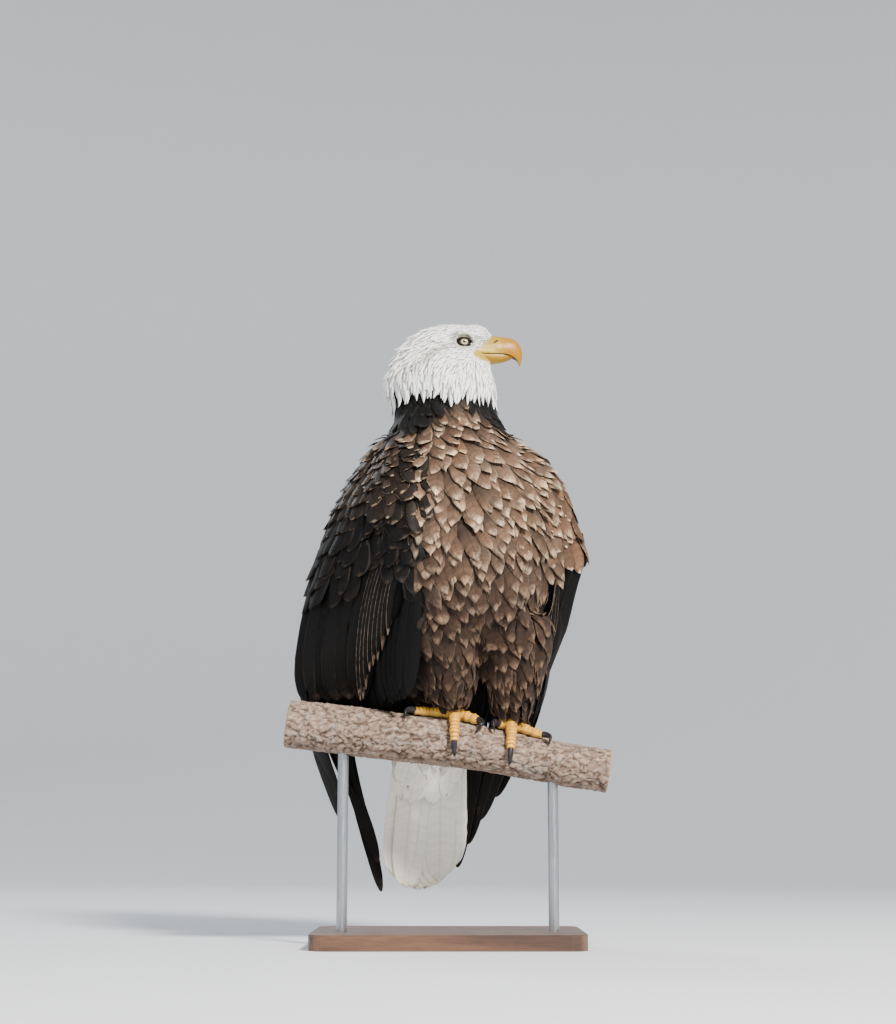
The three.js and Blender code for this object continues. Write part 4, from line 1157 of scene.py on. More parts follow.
def build_coverts(name, face):
    """Rows of coverts from the shoulder down, which grow longer and further apart."""
    coat = Coat(f"plumage_wing_{name}", WING_FEATHER, "wing_feathers", around_body, 61)
    rng = coat.rng
    height, index = WING_TOP, 0
    while height > COVERTS_FOOT:
        drop = fade(height, 0.37, 0.21)
        length, pitch = mix(25, 62, drop) * MM, mix(10, 17, drop) * MM
        share, level = face.row(height, pitch, 0.5 * (index % 2) + 0.25, 0.012)
        share = np.clip(share + rng.normal(0, 0.01, len(share)), 0.015, 0.985)
        level = np.minimum(level + rng.normal(0, 2, len(share)) * MM, WING_TOP + 2 * MM)
        place, facing, _ = nearest(SKIN_TREE, face.points(share, level))
        lengths = length * rng.uniform(0.85, 1.15, len(share)) * mix(1.0, 1.2, share)
        grown = grows_coverts(name, share, level)
        place, facing, share, lengths = (value[grown] for value in (place, facing, share, lengths))
        count = len(share)
        warm = (fade(height, 0.27, 0.35) * mix(1.0, 0.35, fade(share, 0.1, 0.5)))[:, None]
        base, edge = mix(DARK * 1.25, MANTLE, warm), mix(DARK_EDGE, SHOULDER_EDGE, warm)
        flare = 0
        if name == "left":
            flare = 11 * MM * fade(abs(share - 0.33), 0.14, 0.04) * fade(height, 0.29, 0.25)
            flank = fade(share, 0.62, 0.42)[:, None]
            base, edge = mix(base, BREAST * 0.85, flank), mix(edge, BREAST_EDGE * 0.85, flank)
        directions = jittered(wing_flow(place, share), facing, 0.1, rng)
        curl = rng.gamma(1.5, 1.1, count) * MM + flare
        lay = laid(place, directions, lengths, 9, base=1.6 * MM, slope=0.085, curl=curl, stiff=0.6)
        half = lengths * mix(0.32, 0.26, drop)
        base, edge = toned(base, rng, count, 0.2), toned(edge, rng, count, 0.22)
        roll = rng.normal(0.06, 0.08, count) * face.side
        coat.add(lay, half, BROAD, base, edge, roll=roll, ragged=0.08)
        height -= mix(10.5, 20, drop) * MM
        index += 1
    coat.build()


# Stacked edges of the folded primaries: how many, their last share of the wing, and the first and last
# heights of their roots and tips.
STREAKS = {"right": (9, 0.085, 0.290, 0.225, 0.100, 0.012), "left": (6, 0.10, 0.180, 0.150, 0.060, 0.030)}
STREAK_SHAPE = (0.14, 5.0, 0.7)


def build_secondaries(name, face):
    """The folded flight feathers: long vanes from under the greater coverts to the hem, and the stacked
    outer edges of the primaries along the leading edge."""
    coat = Coat(f"secondaries_{name}", WING_FEATHER, "wing_feathers", around_body, 71)
    rng = coat.rng
    share = np.linspace(0.09, 0.97, 19)
    tip = np.interp(share, HEM_SHARES, HEM_HEIGHTS) + rng.normal(0, 3, len(share)) * MM
    lay = face.hung(share, mix(0.225, 0.245, share), tip, 24, mix(5.0, 3.0, share) * MM)
    base, edge = toned(DARK, rng, len(share), 0.15), toned(DARK_EDGE * 0.8, rng, len(share), 0.2)
    coat.add(lay, 20 * MM, FLIGHT, base, edge, columns=10, camber=0.14, roll=-0.2 * face.side, ragged=0.04,
             thick=0.6 * MM, double=True)
    count, last_share, first_root, last_root, first_tip, last_tip = STREAKS[name]
    share = np.linspace(0.0, last_share, count)
    root, tip = np.linspace(first_root, last_root, count), np.linspace(first_tip, last_tip, count)
    tip = tip + rng.normal(0, 4, count) * MM
    lay = face.hung(share, root, tip, 20, np.linspace(4.0, 1.5, count) * MM, 0.01)
    half = rng.uniform(6.5, 8, count) * MM
    base, edge = toned(DARK, rng, count, 0.1), toned(STREAK_EDGE, rng, count, 0.12)
    coat.add(lay, half, STREAK_SHAPE, base, edge, columns=8, camber=0.2, roll=-0.5 * face.side, ragged=0.03,
             thick=0.6 * MM, double=True)
    coat.build([f"wing_{name}_secondaries"])


# Flight feathers below the hem: share round the wing, tip [out, back, up] in mm, half width, twist.
PRIMARIES = {
    "right": [
        (0.52, (153, 136, -98), 15, 0.9), (0.56, (144, 142, -130), 16, 1.0), (0.62, (130, 152, -96), 16, 0.5),
        (0.68, (112, 166, -98), 16, 0.1), (0.74, (84, 178, -190), 9, -0.7), (0.79, (79, 188, -230), 9, -0.7),
    ],
    "left": [
        (0.30, (106, 98, -58), 16, 0.2), (0.42, (94, 114, -86), 18, 0.1), (0.54, (78, 132, -112), 18, 0.0),
        (0.66, (60, 152, -142), 17, 0.0), (0.78, (47, 170, -174), 15, 0.0), (0.88, (34, 184, -205), 14, 0.0),
    ],
}
PRIMARY_SWEEP = 7 * MM  # how far they curve outwards


def build_primaries(name, face):
    coat = Coat(f"primaries_{name}", WING_FEATHER, "wing_feathers", around_body, 81)
    rng = coat.rng
    share, tips, half, twist = (np.array(column, float) for column in zip(*PRIMARIES[name]))
    count, tips = len(share), tips * MM * np.array([face.side, 1, 1])
    height = np.interp(share, HEM_SHARES, HEM_HEIGHTS) + 60 * MM
    held, facings = face.hung(share, height, height - 30 * MM, 2, np.full(count, 7 * MM))
    centres, side = strung(held[:, 0], tips, facings[:, 0], 24, 4 * MM)
    outward = np.array([face.side * PRIMARY_SWEEP, 0, 0]) * np.sin(np.pi * row_shares(24))[:, None] ** 2
    base, edge = toned(DARK * 0.9, rng, count, 0.1), toned(DARK_EDGE * 0.7, rng, count, 0.1)
    coat.add((centres + outward, side), half * MM, FLIGHT, base, edge, columns=10, camber=0.12,
             roll=-face.side * twist, ragged=0.03, thick=0.8 * MM, double=True)
    coat.build([f"wing_{name}_primaries"])


# ---------------------------------------------------------------- tail
TAIL = {
    "feathers": 12, "root": np.array([-12, 112, 26]) * MM, "tip": np.array([-23, 186, -229]) * MM,
    "root_pitch": 4.5 * MM, "tip_pitch": 7.6 * MM, "half": 25 * MM,
    "step_back": 1.3 * MM, "step_up": 0.75 * MM,
}


def build_tail():
    coat = Coat("tail_vanes", TAIL_FEATHER, "tail_feathers", around_body, 91)
    rng = coat.rng
    place = np.arange(TAIL["feathers"]) - (TAIL["feathers"] - 1) / 2
    back = -abs(place) * TAIL["step_back"]
    none = np.zeros_like(place)
    roots = TAIL["root"] + np.stack([place * TAIL["root_pitch"], back, none], 1)
    rise = place ** 2 * TAIL["step_up"] + rng.normal(0, 2, len(place)) * MM
    tips = TAIL["tip"] + np.stack([place * TAIL["tip_pitch"], back * 1.6, rise], 1)
    facings = unit(np.stack([place * 0.03, none + 1, none + 0.3], 1))
    lay = strung(roots, tips, facings, 26, 5 * MM)
    base = toned(CREAM, rng, len(place), 0.04, 0.01)
    edge = toned(CREAM_EDGE, rng, len(place), 0.05, 0.02)
    half = TAIL["half"] * rng.uniform(0.92, 1.0, len(place))
    roll = rng.normal(0, 0.05, len(place)) - place * 0.012
    coat.add(lay, half, FLIGHT, base, edge, columns=12, camber=0.06, roll=roll, ragged=0.05,
             thick=0.7 * MM, double=True)
    coat.build(["tail_feathers"])


TAIL_COVERTS = {  # from their first roots to their last tips, half width of the group, and the way they face
    "under": ((-8, 92, 0), (-22, 140, -108), 42, (0, -1, -0.4)),
    "upper": ((-6, 132, 22), (-16, 168, -80), 40, (0, 1, 0.35)),
}


def build_tail_coverts():
    coat = Coat("plumage_tail_coverts", TAIL_FEATHER, "tail_feathers", around_body, 95)
    rng = coat.rng
    for start, end, half, facing in TAIL_COVERTS.values():
        start, end, facing = np.array(start) * MM, np.array(end) * MM, unit(np.array(facing, float))
        rows, across = 7, 7
        v, u = (grid.ravel() for grid in np.meshgrid(np.arange(rows) / rows, np.linspace(-1, 1, across)))
        u = u + np.where(np.round(v * rows) % 2, 0.5, -0.5) / across + rng.normal(0, 0.04, len(u))
        spread = half * MM * (1 - 0.35 * v)
        roots = mix(start, end, 0.62 * v[:, None])
        roots[:, 0] += u * spread
        roots = roots + facing * (mix(9, 5, v) - 5 * u ** 2)[:, None] * MM
        count = len(v)
        length = rng.uniform(0.42, 0.52, count) * np.linalg.norm(end - start)
        aside = u[:, None] * [1, 0, 0]
        ahead = unit(unit(end - start) + 0.12 * aside + rng.normal(0, 0.03, (count, 3)))
        lay = strung(roots, roots + ahead * length[:, None], unit(facing + 0.5 * aside), 10, 3 * MM)
        base, edge = toned(CREAM, rng, count, 0.04, 0.01), toned(WHITE_EDGE, rng, count, 0.04, 0.01)
        coat.add(lay, length * 0.26, BROAD, base, edge, roll=rng.normal(0, 0.08, count), ragged=0.15,
                 double=True)
    coat.build()


# ---------------------------------------------------------------- smooth bodies
def flowing(rows, count):
    """Rows of numbers, evenly re-spaced along a smooth curve through them."""
    rows = np.asarray(rows, float)
    padded = np.concatenate([2 * rows[:1] - rows[1:2], rows, 2 * rows[-1:] - rows[-2:-1]])
    t = np.linspace(0, len(rows) - 1, count)
    i = np.minimum(t.astype(int), len(rows) - 2)
    t = (t - i)[:, None]
    a, b, c, d = (padded[i + k] for k in range(4))
    return b + 0.5 * t * (c - a + t * (2 * a - 5 * b + 4 * c - d + t * (3 * (b - c) + d - a)))


class Body:
    """Closed smooth solids gathered into one mesh, with a colour at each vertex."""

    def __init__(self):
        self.verts, self.tints, self.quads, self.tris = [], [], [], []
        self.count = 0

    def put(self, verts, tints, quads, tris):
        self.verts.append(verts)
        self.tints.append(np.broadcast_to(tints, verts.shape))
        self.quads.append(quads + self.count)
        self.tris.append(tris + self.count)
        self.count += len(verts)

    def loft(self, rings, tints):
        """A solid through rings of points, closed at both ends."""
        stations, around = rings.shape[:2]
        centre = rings.mean((0, 1))
        grid = np.arange(stations * around).reshape(stations, around)
        after = np.roll(grid, -1, 1)
        quads = np.stack([grid[:-1], after[:-1], after[1:], grid[1:]], -1).reshape(-1, 4)
        start, end = np.full(around, grid.size), np.full(around, grid.size + 1)
        caps = (start, after[0], grid[0]), (end, grid[-1], after[-1])
        tris = np.concatenate([np.stack(cap, 1) for cap in caps])
        verts = np.concatenate([rings.reshape(-1, 3), rings[:1].mean(1), rings[-1:].mean(1)])
        a, b, c, d = (verts[quads[:, k]] - centre for k in range(4))
        if (np.cross(a, b) * c).sum() + (np.cross(a, c) * d).sum() < 0:
            quads, tris = quads[:, ::-1], tris[:, ::-1]
        tints = np.broadcast_to(tints, rings.shape)
        tints = np.concatenate([tints.reshape(-1, 3), tints[:1].mean(1), tints[-1:].mean(1)])
        self.put(verts, tints, quads, tris)

    def surface(self, surface, tints):
        self.put(surface.verts, tints, surface.quads, NO_TRIANGLES)

    def build(self, name, material, slot, replaces):
        verts, quads, tris = (np.concatenate(x) for x in (self.verts, self.quads, self.tris))
        mesh, _ = mesh_of(name, verts, quads, tris)
        add_attribute(mesh, "tint", "FLOAT_COLOR", np.concatenate(self.tints))
        return add_piece(name, mesh, material, replaces)


# ---------------------------------------------------------------- bill
# Sections of the bill as [forward, height] of their top and foot, and half width, in the head's frame.
UPPER_BILL = np.array([
    (34, 518.4, 34, 486.6, 25.4), (46, 517.3, 44, 486.4, 22), (58, 515.8, 54, 486.4, 18.8),
    (72, 513.6, 66, 486.6, 15.9), (86, 512.0, 76, 486.8, 13.4), (95.6, 509.0, 85, 486.2, 10.9),
    (102.4, 502.0, 92, 483.8, 8.2), (105.6, 492.0, 96.6, 480.4, 5.6), (104.6, 481.6, 98.8, 475.8, 3.1),
    (101.8, 472.4, 100.2, 471.4, 0.9),
]) * MM
LOWER_BILL = np.array([
    (34, 486.2, 34, 475.4, 24.4), (46, 486.0, 46, 475.6, 20.4), (58, 486.0, 58, 475.9, 17.2),
    (74, 486.2, 74, 477, 13.0), (84, 486.2, 84, 479.6, 9.4), (90, 485.6, 89, 482.0, 6.0),
    (92.4, 484.8, 92.0, 483.6, 2.2),
]) * MM
GAPE_END = 73 * MM
CERE_END = 76 * MM
NOSTRIL = {
    "forward": 71 * MM, "height": 504.3 * MM, "tilt": math.radians(38), "long": 3.9 * MM, "wide": 1.45 * MM,
}
HORN, HORN_TIP, HORN_EDGE = srgb(152, 102, 0), srgb(146, 100, 2), srgb(94, 54, 0)
CERE, GAPE, MOUTH = srgb(160, 130, 36), srgb(178, 148, 60), srgb(50, 24, 14)


def bill_rings(sections, stations, side_points, lower):
    """Rings of half a bill: u runs from the cutting edge to the ridge or keel, and the mouth side is flat."""
    rows = flowing(sections, stations)[:, None]
    turn = np.linspace(0, math.pi / 2, side_points)
    u, w = np.cos(turn), np.sin(turn) ** 0.92
    w = w * (1 - 0.06 * fade(u, 0.35, 0.0))
    flat = np.linspace(1, -1, 9)[1:-1]
    u = np.concatenate([u, 0.05 * (1 - flat ** 2), u[:0:-1]])
    w = np.concatenate([w, flat * w[-1], -w[:0:-1]])
    top, foot, half = rows[..., 0:2], rows[..., 2:4], rows[..., 4]
    edge, ridge = (top, foot) if lower else (foot, top)
    place = mix(edge, ridge, u[:, None])
    forward, height = place[..., 0], place[..., 1]
    inside = np.arange(len(u))
    inside = (inside >= side_points) & (inside < side_points + 7)
    lip = np.exp(-((u - 0.09) / 0.085) ** 2) * fade(forward, GAPE_END, GAPE_END - 12 * MM) * ~inside
    cere = fade(forward, CERE_END + 2.5 * MM, CERE_END - 2.5 * MM) * ~inside * (0 if lower else 1)
    across = w * half + np.sign(w) * (0.9 * MM * lip + 0.45 * MM * cere)
    height = height + cere * 0.45 * MM * u ** 2
    return forward, across, height, u, cere, inside


def build_bill():
    for name, sections, lower in (("bill_upper", UPPER_BILL, False), ("bill_lower", LOWER_BILL, True)):
        forward, across, height, u, cere, inside = bill_rings(sections, 120, 40, lower)
        tip = fade(forward, 0.088, 0.104)[..., None]
        tint = mix(HORN, HORN_TIP, tip * 0.6)
        tint = mix(tint, HORN_EDGE, (fade(u, 0.12, 0.0) * 0.75)[..., None])
        tint = mix(tint, CERE, (0.6 * fade(forward, 0.094, 0.074))[..., None])
        tint = mix(tint, CERE, cere[..., None])
        gape = fade(forward, GAPE_END + 4 * MM, GAPE_END - 8 * MM) * fade(u, 0.4, 0.2)
        tint = mix(tint, GAPE, gape[..., None])
        tint = np.where((inside | (u < 0.02))[:, None], MOUTH, tint)
        if not lower:
            along, above = forward - NOSTRIL["forward"], height - NOSTRIL["height"]
            long = along * math.cos(NOSTRIL["tilt"]) + above * math.sin(NOSTRIL["tilt"])
            wide = above * math.cos(NOSTRIL["tilt"]) - along * math.sin(NOSTRIL["tilt"])
            away = np.hypot(long / NOSTRIL["long"], wide / NOSTRIL["wide"])
            slot = fade(away, 1.25, 0.6)
            rim = np.exp(-((away - 1.7) / 0.4) ** 2)
            across = across - np.sign(across) * (2.6 * slot - 0.3 * rim) * MM
            # painted shade in the nostril's hollow
            tint = mix(tint, srgb(40, 28, 20), (0.95 * fade(away, 1.15, 0.7))[..., None])
        body = Body()
        body.loft(in_head(forward, across, height), tint)
        body.build(name + "_horn", BILL_HORN, "bill_horn", [name])


# ---------------------------------------------------------------- eyes and lids
IRIS, IRIS_EDGE, LID = srgb(206, 194, 140), srgb(140, 122, 70), srgb(34, 28, 23)
PUPIL_REACH, IRIS_REACH = 2.3 * MM, 4.8 * MM


def gaze_frame(side):
    """The eye's centre, its gaze, and the directions to the front and up across it."""
    gaze = eye_gaze(side)
    front = unit(HEAD_AHEAD - gaze * (HEAD_AHEAD @ gaze))
    above = unit(UP - gaze * (UP @ gaze))
    return eye_centre(side), gaze, front, above


def build_eyes():
    for name, side in WINGS.items():
        centre, gaze, front, above = gaze_frame(side)
        polar = np.linspace(0.02, math.pi - 0.02, 90)[:, None]
        turn = np.linspace(0, 2 * math.pi, 72, endpoint=False)
        radius = EYE["radius"] + 0.35 * MM * fade(polar, 0.62, 0.0)
        out, around = radius * np.cos(polar), radius * np.sin(polar)
        rings = (
            centre + out[..., None] * gaze
            + (around * np.cos(turn))[..., None] * front + (around * np.sin(turn))[..., None] * above
        )
        body = Body()
        body.loft(rings, srgb(20, 18, 16))
        piece = body.build(f"eye_{name}_ball", EYE_SURFACE, "eye", [f"eye_{name}"])
        co = np.concatenate([rings.reshape(-1, 3), rings[:1].mean(1), rings[-1:].mean(1)]) - centre
        add_attribute(piece.data, "gaze", "FLOAT_VECTOR", np.stack([co @ front, co @ above, co @ gaze], 1))


def add_lids(body):
    """Rings of bare skin round each eye, from the lids' edges out to under the face's feathers."""
    steps, turns = 18, 56
    for side in WINGS.values():
        centre, gaze, front, above = gaze_frame(side)
        turn = np.linspace(0, 2 * math.pi, turns, endpoint=False)
        frown = turn + LID_TILT
        across, high = np.cos(frown), np.sin(frown)
        opening = 1 / np.hypot(across / EYE_OPENING[0], high / np.where(high > 0, *EYE_OPENING[1:]))
        t = np.linspace(0, 1, steps)[:, None] ** 1.3
        reach = mix(opening, LID_REACH, t)
        across, high = np.cos(turn), np.sin(turn)
        flat = centre + (reach * across)[..., None] * front + (reach * high)[..., None] * above
        ball = np.sqrt(np.maximum(EYE["radius"] ** 2 - reach ** 2, 0)) + 0.9 * MM
        skin = np.array([[
            (Vector(p) - SKIN_TREE.ray_cast(Vector(p + gaze * 0.05), Vector(-gaze))[0]).dot(Vector(-gaze))
            for p in row] for row in flat])
        brow = 1.9 * MM * fade(high, 0.15, 0.8) * fade(t, 0.05, 0.35)
        on_ball = np.where(reach < EYE["radius"], ball, 0)
        height = np.maximum(on_ball, skin + 0.5 * MM) + brow * fade(t, 1.0, 0.8)
        height = height - 2.4 * MM * fade(t, 0.85, 1.0)
        rim = 0.5 * MM * fade(t, 0.16, 0.04)
        outer = flat + (height + rim)[..., None] * gaze
        inner = flat + (height - 1.4 * MM)[..., None] * gaze
        grid = np.arange(steps * turns).reshape(steps, turns)
        after = np.roll(grid, -1, 1)
        face = np.stack([grid[:-1], after[:-1], after[1:], grid[1:]], -1).reshape(-1, 4)
        back = face[:, ::-1] + grid.size
        edge = np.concatenate([
            np.stack([after[0], grid[0], grid[0] + grid.size, after[0] + grid.size], 1),
            np.stack([grid[-1], after[-1], after[-1] + grid.size, grid[-1] + grid.size], 1),
        ])
        quads = np.concatenate([face, back, edge])
        if side < 0:
            quads = quads[:, ::-1]
        # dark lid rim, thickened above by painted brow shade; round it grey lores and painted shade,
        # strongest above and in front
        rim_reach = opening + mix(1.2, 2.4, fade(high, -0.3, 0.6)) * MM + 1.2 * MM * abs(across)
        dark = fade(reach - rim_reach, 1.4 * MM, -0.6 * MM)[..., None]
        shaded = fade(t, 1.0, 0.5) * mix(0.35, 1.0, fade(high + 0.6 * across, -0.4, 0.6))
        tint = mix(mix(srgb(222, 219, 210), LORE_AND_SHADE, shaded[..., None]), LID, dark)
        body.put(np.concatenate([outer.reshape(-1, 3), inner.reshape(-1, 3)]),
                 np.concatenate([tint.reshape(-1, 3)] * 2), quads, NO_TRIANGLES)


# ---------------------------------------------------------------- perch, toes and claws
PERCH = {
    "y": -12 * MM, "height": 253 * MM, "slope": math.radians(-8.5), "level_at": 40 * MM, "radius": 31 * MM,
    "taper": -0.012, "knots": 1.5 * MM,
}


def perch_axis(x):
    bend = 2.5 * MM * np.cos(x / (70 * MM))
    height = PERCH["height"] + math.tan(PERCH["slope"]) * (x - PERCH["level_at"]) + bend
    return np.stack([x, PERCH["y"] + 3 * MM * np.sin(x / (90 * MM)), height], -1)


def on_perch(x, angle, lift):
    """A point of the bird's frame at x along the branch, at an angle from its top to the front, and this
    far off the bark."""
    knots = np.sin(3 * angle + x / (31 * MM)) + np.sin(2 * angle - x / (47 * MM))
    reach = (PERCH["radius"] + PERCH["taper"] * x + PERCH["knots"] * 0.5 * knots + lift)[..., None]
    up = np.array([-math.sin(PERCH["slope"]), 0, math.cos(PERCH["slope"])])
    ahead = np.array([0, -1, 0])
    return to_bird(perch_axis(x) + reach * (np.cos(angle)[..., None] * up + np.sin(angle)[..., None] * ahead))


# Toes: x from the foot in mm and degrees round the branch along each, radii, then the claw's length,
# radius and how far sideways its tip goes.
FEET = {
    "right": (3, {
        "outer": ([-9, -24, -40, -54], [2, 6, 12, 20], [7.6, 6, 5.6], 31, 4.6, -9),
        "middle": ([0, 1, 3, 5], [12, 38, 64, 88], [8, 6.4, 5.8], 31, 4.8, 3),
        "inner": ([9, 17, 26, 33], [2, 9, 17, 25], [7.8, 6.6, 6.2], 34, 5.2, -2),
        "hind": ([-2, -3, -4, -5], [-14, -34, -54, -70], [8.2, 7, 6.6], 42, 6, -2),
    }),
    "left": (78, {
        "outer": ([9, 20, 32, 43], [2, 8, 15, 22], [7.6, 6, 5.6], 31, 4.6, 8),
        "middle": ([0, 1, 2, 3], [12, 38, 64, 86], [8, 6.4, 5.8], 31, 4.8, 1),
        "inner": ([-8, -12, -15, -18], [2, 6, 10, 14], [7.8, 6.6, 6.2], 34, 5.2, -3),
        "hind": ([-1, 0, 1, 2], [-14, -34, -54, -70], [8.2, 7, 6.6], 42, 6, 2),
    }),
}
SCUTE = 4.9 * MM
FOOT, FOOT_CREASE, FOOT_PAD = srgb(236, 172, 44), srgb(132, 84, 28), srgb(206, 160, 70)
CLAW, CLAW_TIP = srgb(44, 42, 44), srgb(20, 19, 20)


def tube_rings(centres, radii, turns, up, squash=1.0):
    """Rings round a path, with the directions out of it. squash narrows them sideways."""
    along = unit(np.gradient(centres, axis=0))
    upward = unit(up - along * dot(up, along))
    across = np.cross(along, upward)
    turn = np.linspace(0, 2 * math.pi, turns, endpoint=False)
    out = np.cos(turn)[:, None] * upward[:, None] + squash * np.sin(turn)[:, None] * across[:, None]
    return centres[:, None] + out * radii[..., None], np.cos(turn)


def smooth_run(values, s):
    """Numbers along a curve through four values, at 0, 1, 2 and 3."""
    return np.polyval(np.polyfit(range(4), values, 3), s)


def add_palm(skin, name):
    palm = remeshed([f"foot_{name}"], 1.0 * MM)
    palm.verts = palm.averaged(palm.verts, 8)
    rough = np.array([noise.noise(Vector(p) * 420) for p in palm.verts.tolist()])
    scale = np.array([noise.voronoi(Vector(p) * 260)[0] for p in palm.verts.tolist()])
    crease = fade(scale[:, 1] - scale[:, 0], 0.22, 0.04)
    palm.verts = palm.verts + palm.normals() * ((0.25 * rough - 0.5 * crease) * MM)[:, None]
    skin.surface(palm, mix(FOOT, FOOT_CREASE, 0.75 * crease[:, None]))


def add_toe(skin, x, angle, radii):
    """A toe over the bark, domed at its tip, with scutes above and smooth pads below. Returns its axis."""
    s = np.linspace(0, 3, len(x))
    radius = np.polyval(np.polyfit((0, 1.5, 3), radii, 2), s) * MM
    axis = on_perch(x, angle, radius + 0.6 * MM)
    up = unit(on_perch(x, angle, radius + 10 * MM) - axis)
    run = np.concatenate([[0], np.cumsum(np.linalg.norm(np.diff(axis, axis=0), axis=1))])
    knuckle = 1 + 0.09 * np.cos(2 * math.pi * s / 1.02)
    dome_length = 0.9 * radius[-1]
    dome = np.sqrt(np.clip(1 - ((run - run[-1] + dome_length) / dome_length).clip(0) ** 2, 0.02, 1))
    rings, facing = tube_rings(axis, (radius * knuckle * dome)[:, None] * np.ones(36), 36, up)
    phase = (run / SCUTE + 0.25) % 1
    groove = np.exp(-((phase - 0.5) / 0.12) ** 2)[:, None] * fade(facing, -0.15, 0.35)
    swell = (0.28 * np.sin(phase * 2 * math.pi)[:, None] * fade(facing, -0.1, 0.4) - 0.75 * groove) * MM
    rings = rings + unit(rings - axis[:, None]) * (swell * dome[:, None])[..., None]
    tint = mix(FOOT, FOOT_PAD, fade(facing, 0.1, -0.6)[:, None])
    skin.loft(rings, mix(tint, FOOT_CREASE, 0.85 * groove[..., None]))
    return axis


def add_claw(claws, x, angle, axis, length, thickness, aside):
    """A claw from the end of a toe's axis, curving down to the bark."""
    end, along = axis[-1], unit(axis[-1] - axis[-8])
    bark = unit(on_perch(x, angle, np.array([-20 * MM]))[0] - end)
    tip_turn = angle + np.sign(angle) * math.radians(34)
    tip = on_perch(x + aside * MM, tip_turn, np.array([0.8 * MM]))[0]
    start = end - along * 2.5 * MM
    reach = length * 0.5 * MM
    handles = (start, start + along * (reach * 1.1) - bark * (reach * 0.22), tip - bark * (reach * 0.85), tip)
    t = np.linspace(0, 1, 44)[:, None]
    weights = ((1 - t) ** 3, 3 * t * (1 - t) ** 2, 3 * t ** 2 * (1 - t), t ** 3)
    path = sum(w * h for w, h in zip(weights, handles))
    thick = (thickness * (1 - t[:, 0] ** 1.4) + 0.15) * MM
    rings, facing = tube_rings(path, thick[:, None] * np.ones(24), 24, -bark + 0 * path, 0.82)
    keel = 1 - 0.16 * fade(facing, 0.0, -0.7)
    rings = path[:, None] + (rings - path[:, None]) * keel[:, None]
    claws.loft(rings, mix(CLAW, CLAW_TIP, t[..., None]))


def build_feet():
    for name, (foot_x, toes) in FEET.items():
        skin, claws = Body(), Body()
        add_palm(skin, name)
        for xs, angles, radii, *claw in toes.values():
            s = np.linspace(0, 3, 150)
            x = (foot_x + smooth_run(xs, s)) * MM
            angle = np.radians(smooth_run(angles, s))
            axis = add_toe(skin, x, angle, radii)
            add_claw(claws, x[-1:], angle[-1:], axis, *claw)
        skin_nodes = [f"foot_{name}"] + [f"toe_{name}_{toe}" for toe in toes]
        skin.build(f"foot_{name}_skin", FOOT_SKIN, "foot_skin", skin_nodes)
        claws.build(f"claws_{name}", CLAW_HORN, "claw_horn", [f"claw_{name}_{toe}" for toe in toes])


BARK, BARK_PALE, BARK_CRACK = srgb(126, 103, 88), srgb(168, 147, 130), srgb(56, 43, 35)
WOOD = srgb(180, 146, 106)
BARK_SEED = 5  # noise_vector starts from the clock unless it is given a seed


def build_perch():
    """The branch with cracked plates of bark and sawn ends."""
    noise.seed_set(BARK_SEED)
    branch = remeshed(["perch_branch"], 1.7 * MM)
    branch.verts = branch.averaged(branch.verts, 4)
    world = to_world(branch.verts)
    normals = branch.normals() @ TO_WORLD[:3, :3].T
    offset = world - perch_axis(world[:, 0])
    angle = np.arctan2(-offset[:, 1], offset[:, 2])
    end = fade(abs(normals[:, 0]), 0.55, 0.8)
    drift = np.array([tuple(noise.noise_vector(Vector(p) * 60)) for p in world.tolist()])
    cells = np.stack([world[:, 0] / (19 * MM), angle * 3.7, np.zeros(len(world))], 1) + drift * [0.9, 0.9, 0]
    near = np.array([noise.voronoi(Vector(p))[0] for p in cells.tolist()])
    gap = near[:, 1] - near[:, 0] + 0.18 * np.array([noise.noise(Vector(p) * 350) for p in world.tolist()])
    crack = fade(gap, 0.15, 0.02) * (1 - end)
    plate = np.array([noise.noise(Vector(p) * 1.3 + Vector((7, 3, 1))) for p in cells.tolist()])
    lump = np.array([noise.noise(Vector(p) * 30) for p in world.tolist()])
    fine = np.array([noise.fractal(Vector(p) * 210, 0.7, 2.0, 3) for p in world.tolist()])
    lift = (-1.6 * crack + 0.7 * plate + 0.9 * lump + 0.7 * fine - 0.2) * (1 - 0.85 * end) * MM
    branch.verts = to_bird(world + normals * lift[:, None])
    tint = mix(BARK, BARK_PALE, np.clip(0.4 + 0.6 * plate + 0.8 * fine, 0, 1)[:, None])
    tint = mix(tint, BARK_CRACK, (crack * 0.8)[:, None])
    ring = np.sin(np.hypot(offset[:, 1], offset[:, 2]) / (0.9 * MM) + 2 * lump)
    tint = mix(tint, WOOD * (1 + 0.12 * ring[:, None]), end[:, None])
    body = Body()
    body.surface(branch, tint)
    body.build("perch_bark", BARK_SURFACE, "bark", ["perch_branch"])


def finish_node(name, material):
    """Gives a CAD node that is kept its own finish, and rounds its sharp edges a little."""
    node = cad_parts[name]
    node.data.materials.clear()
    node.data.materials.append(material)
    bevel = node.modifiers.new("edges", "BEVEL")
    bevel.width, bevel.segments = 1.2 * MM, 3
    bevel.limit_method, bevel.angle_limit = "ANGLE", math.radians(40)
    bevel.harden_normals = True


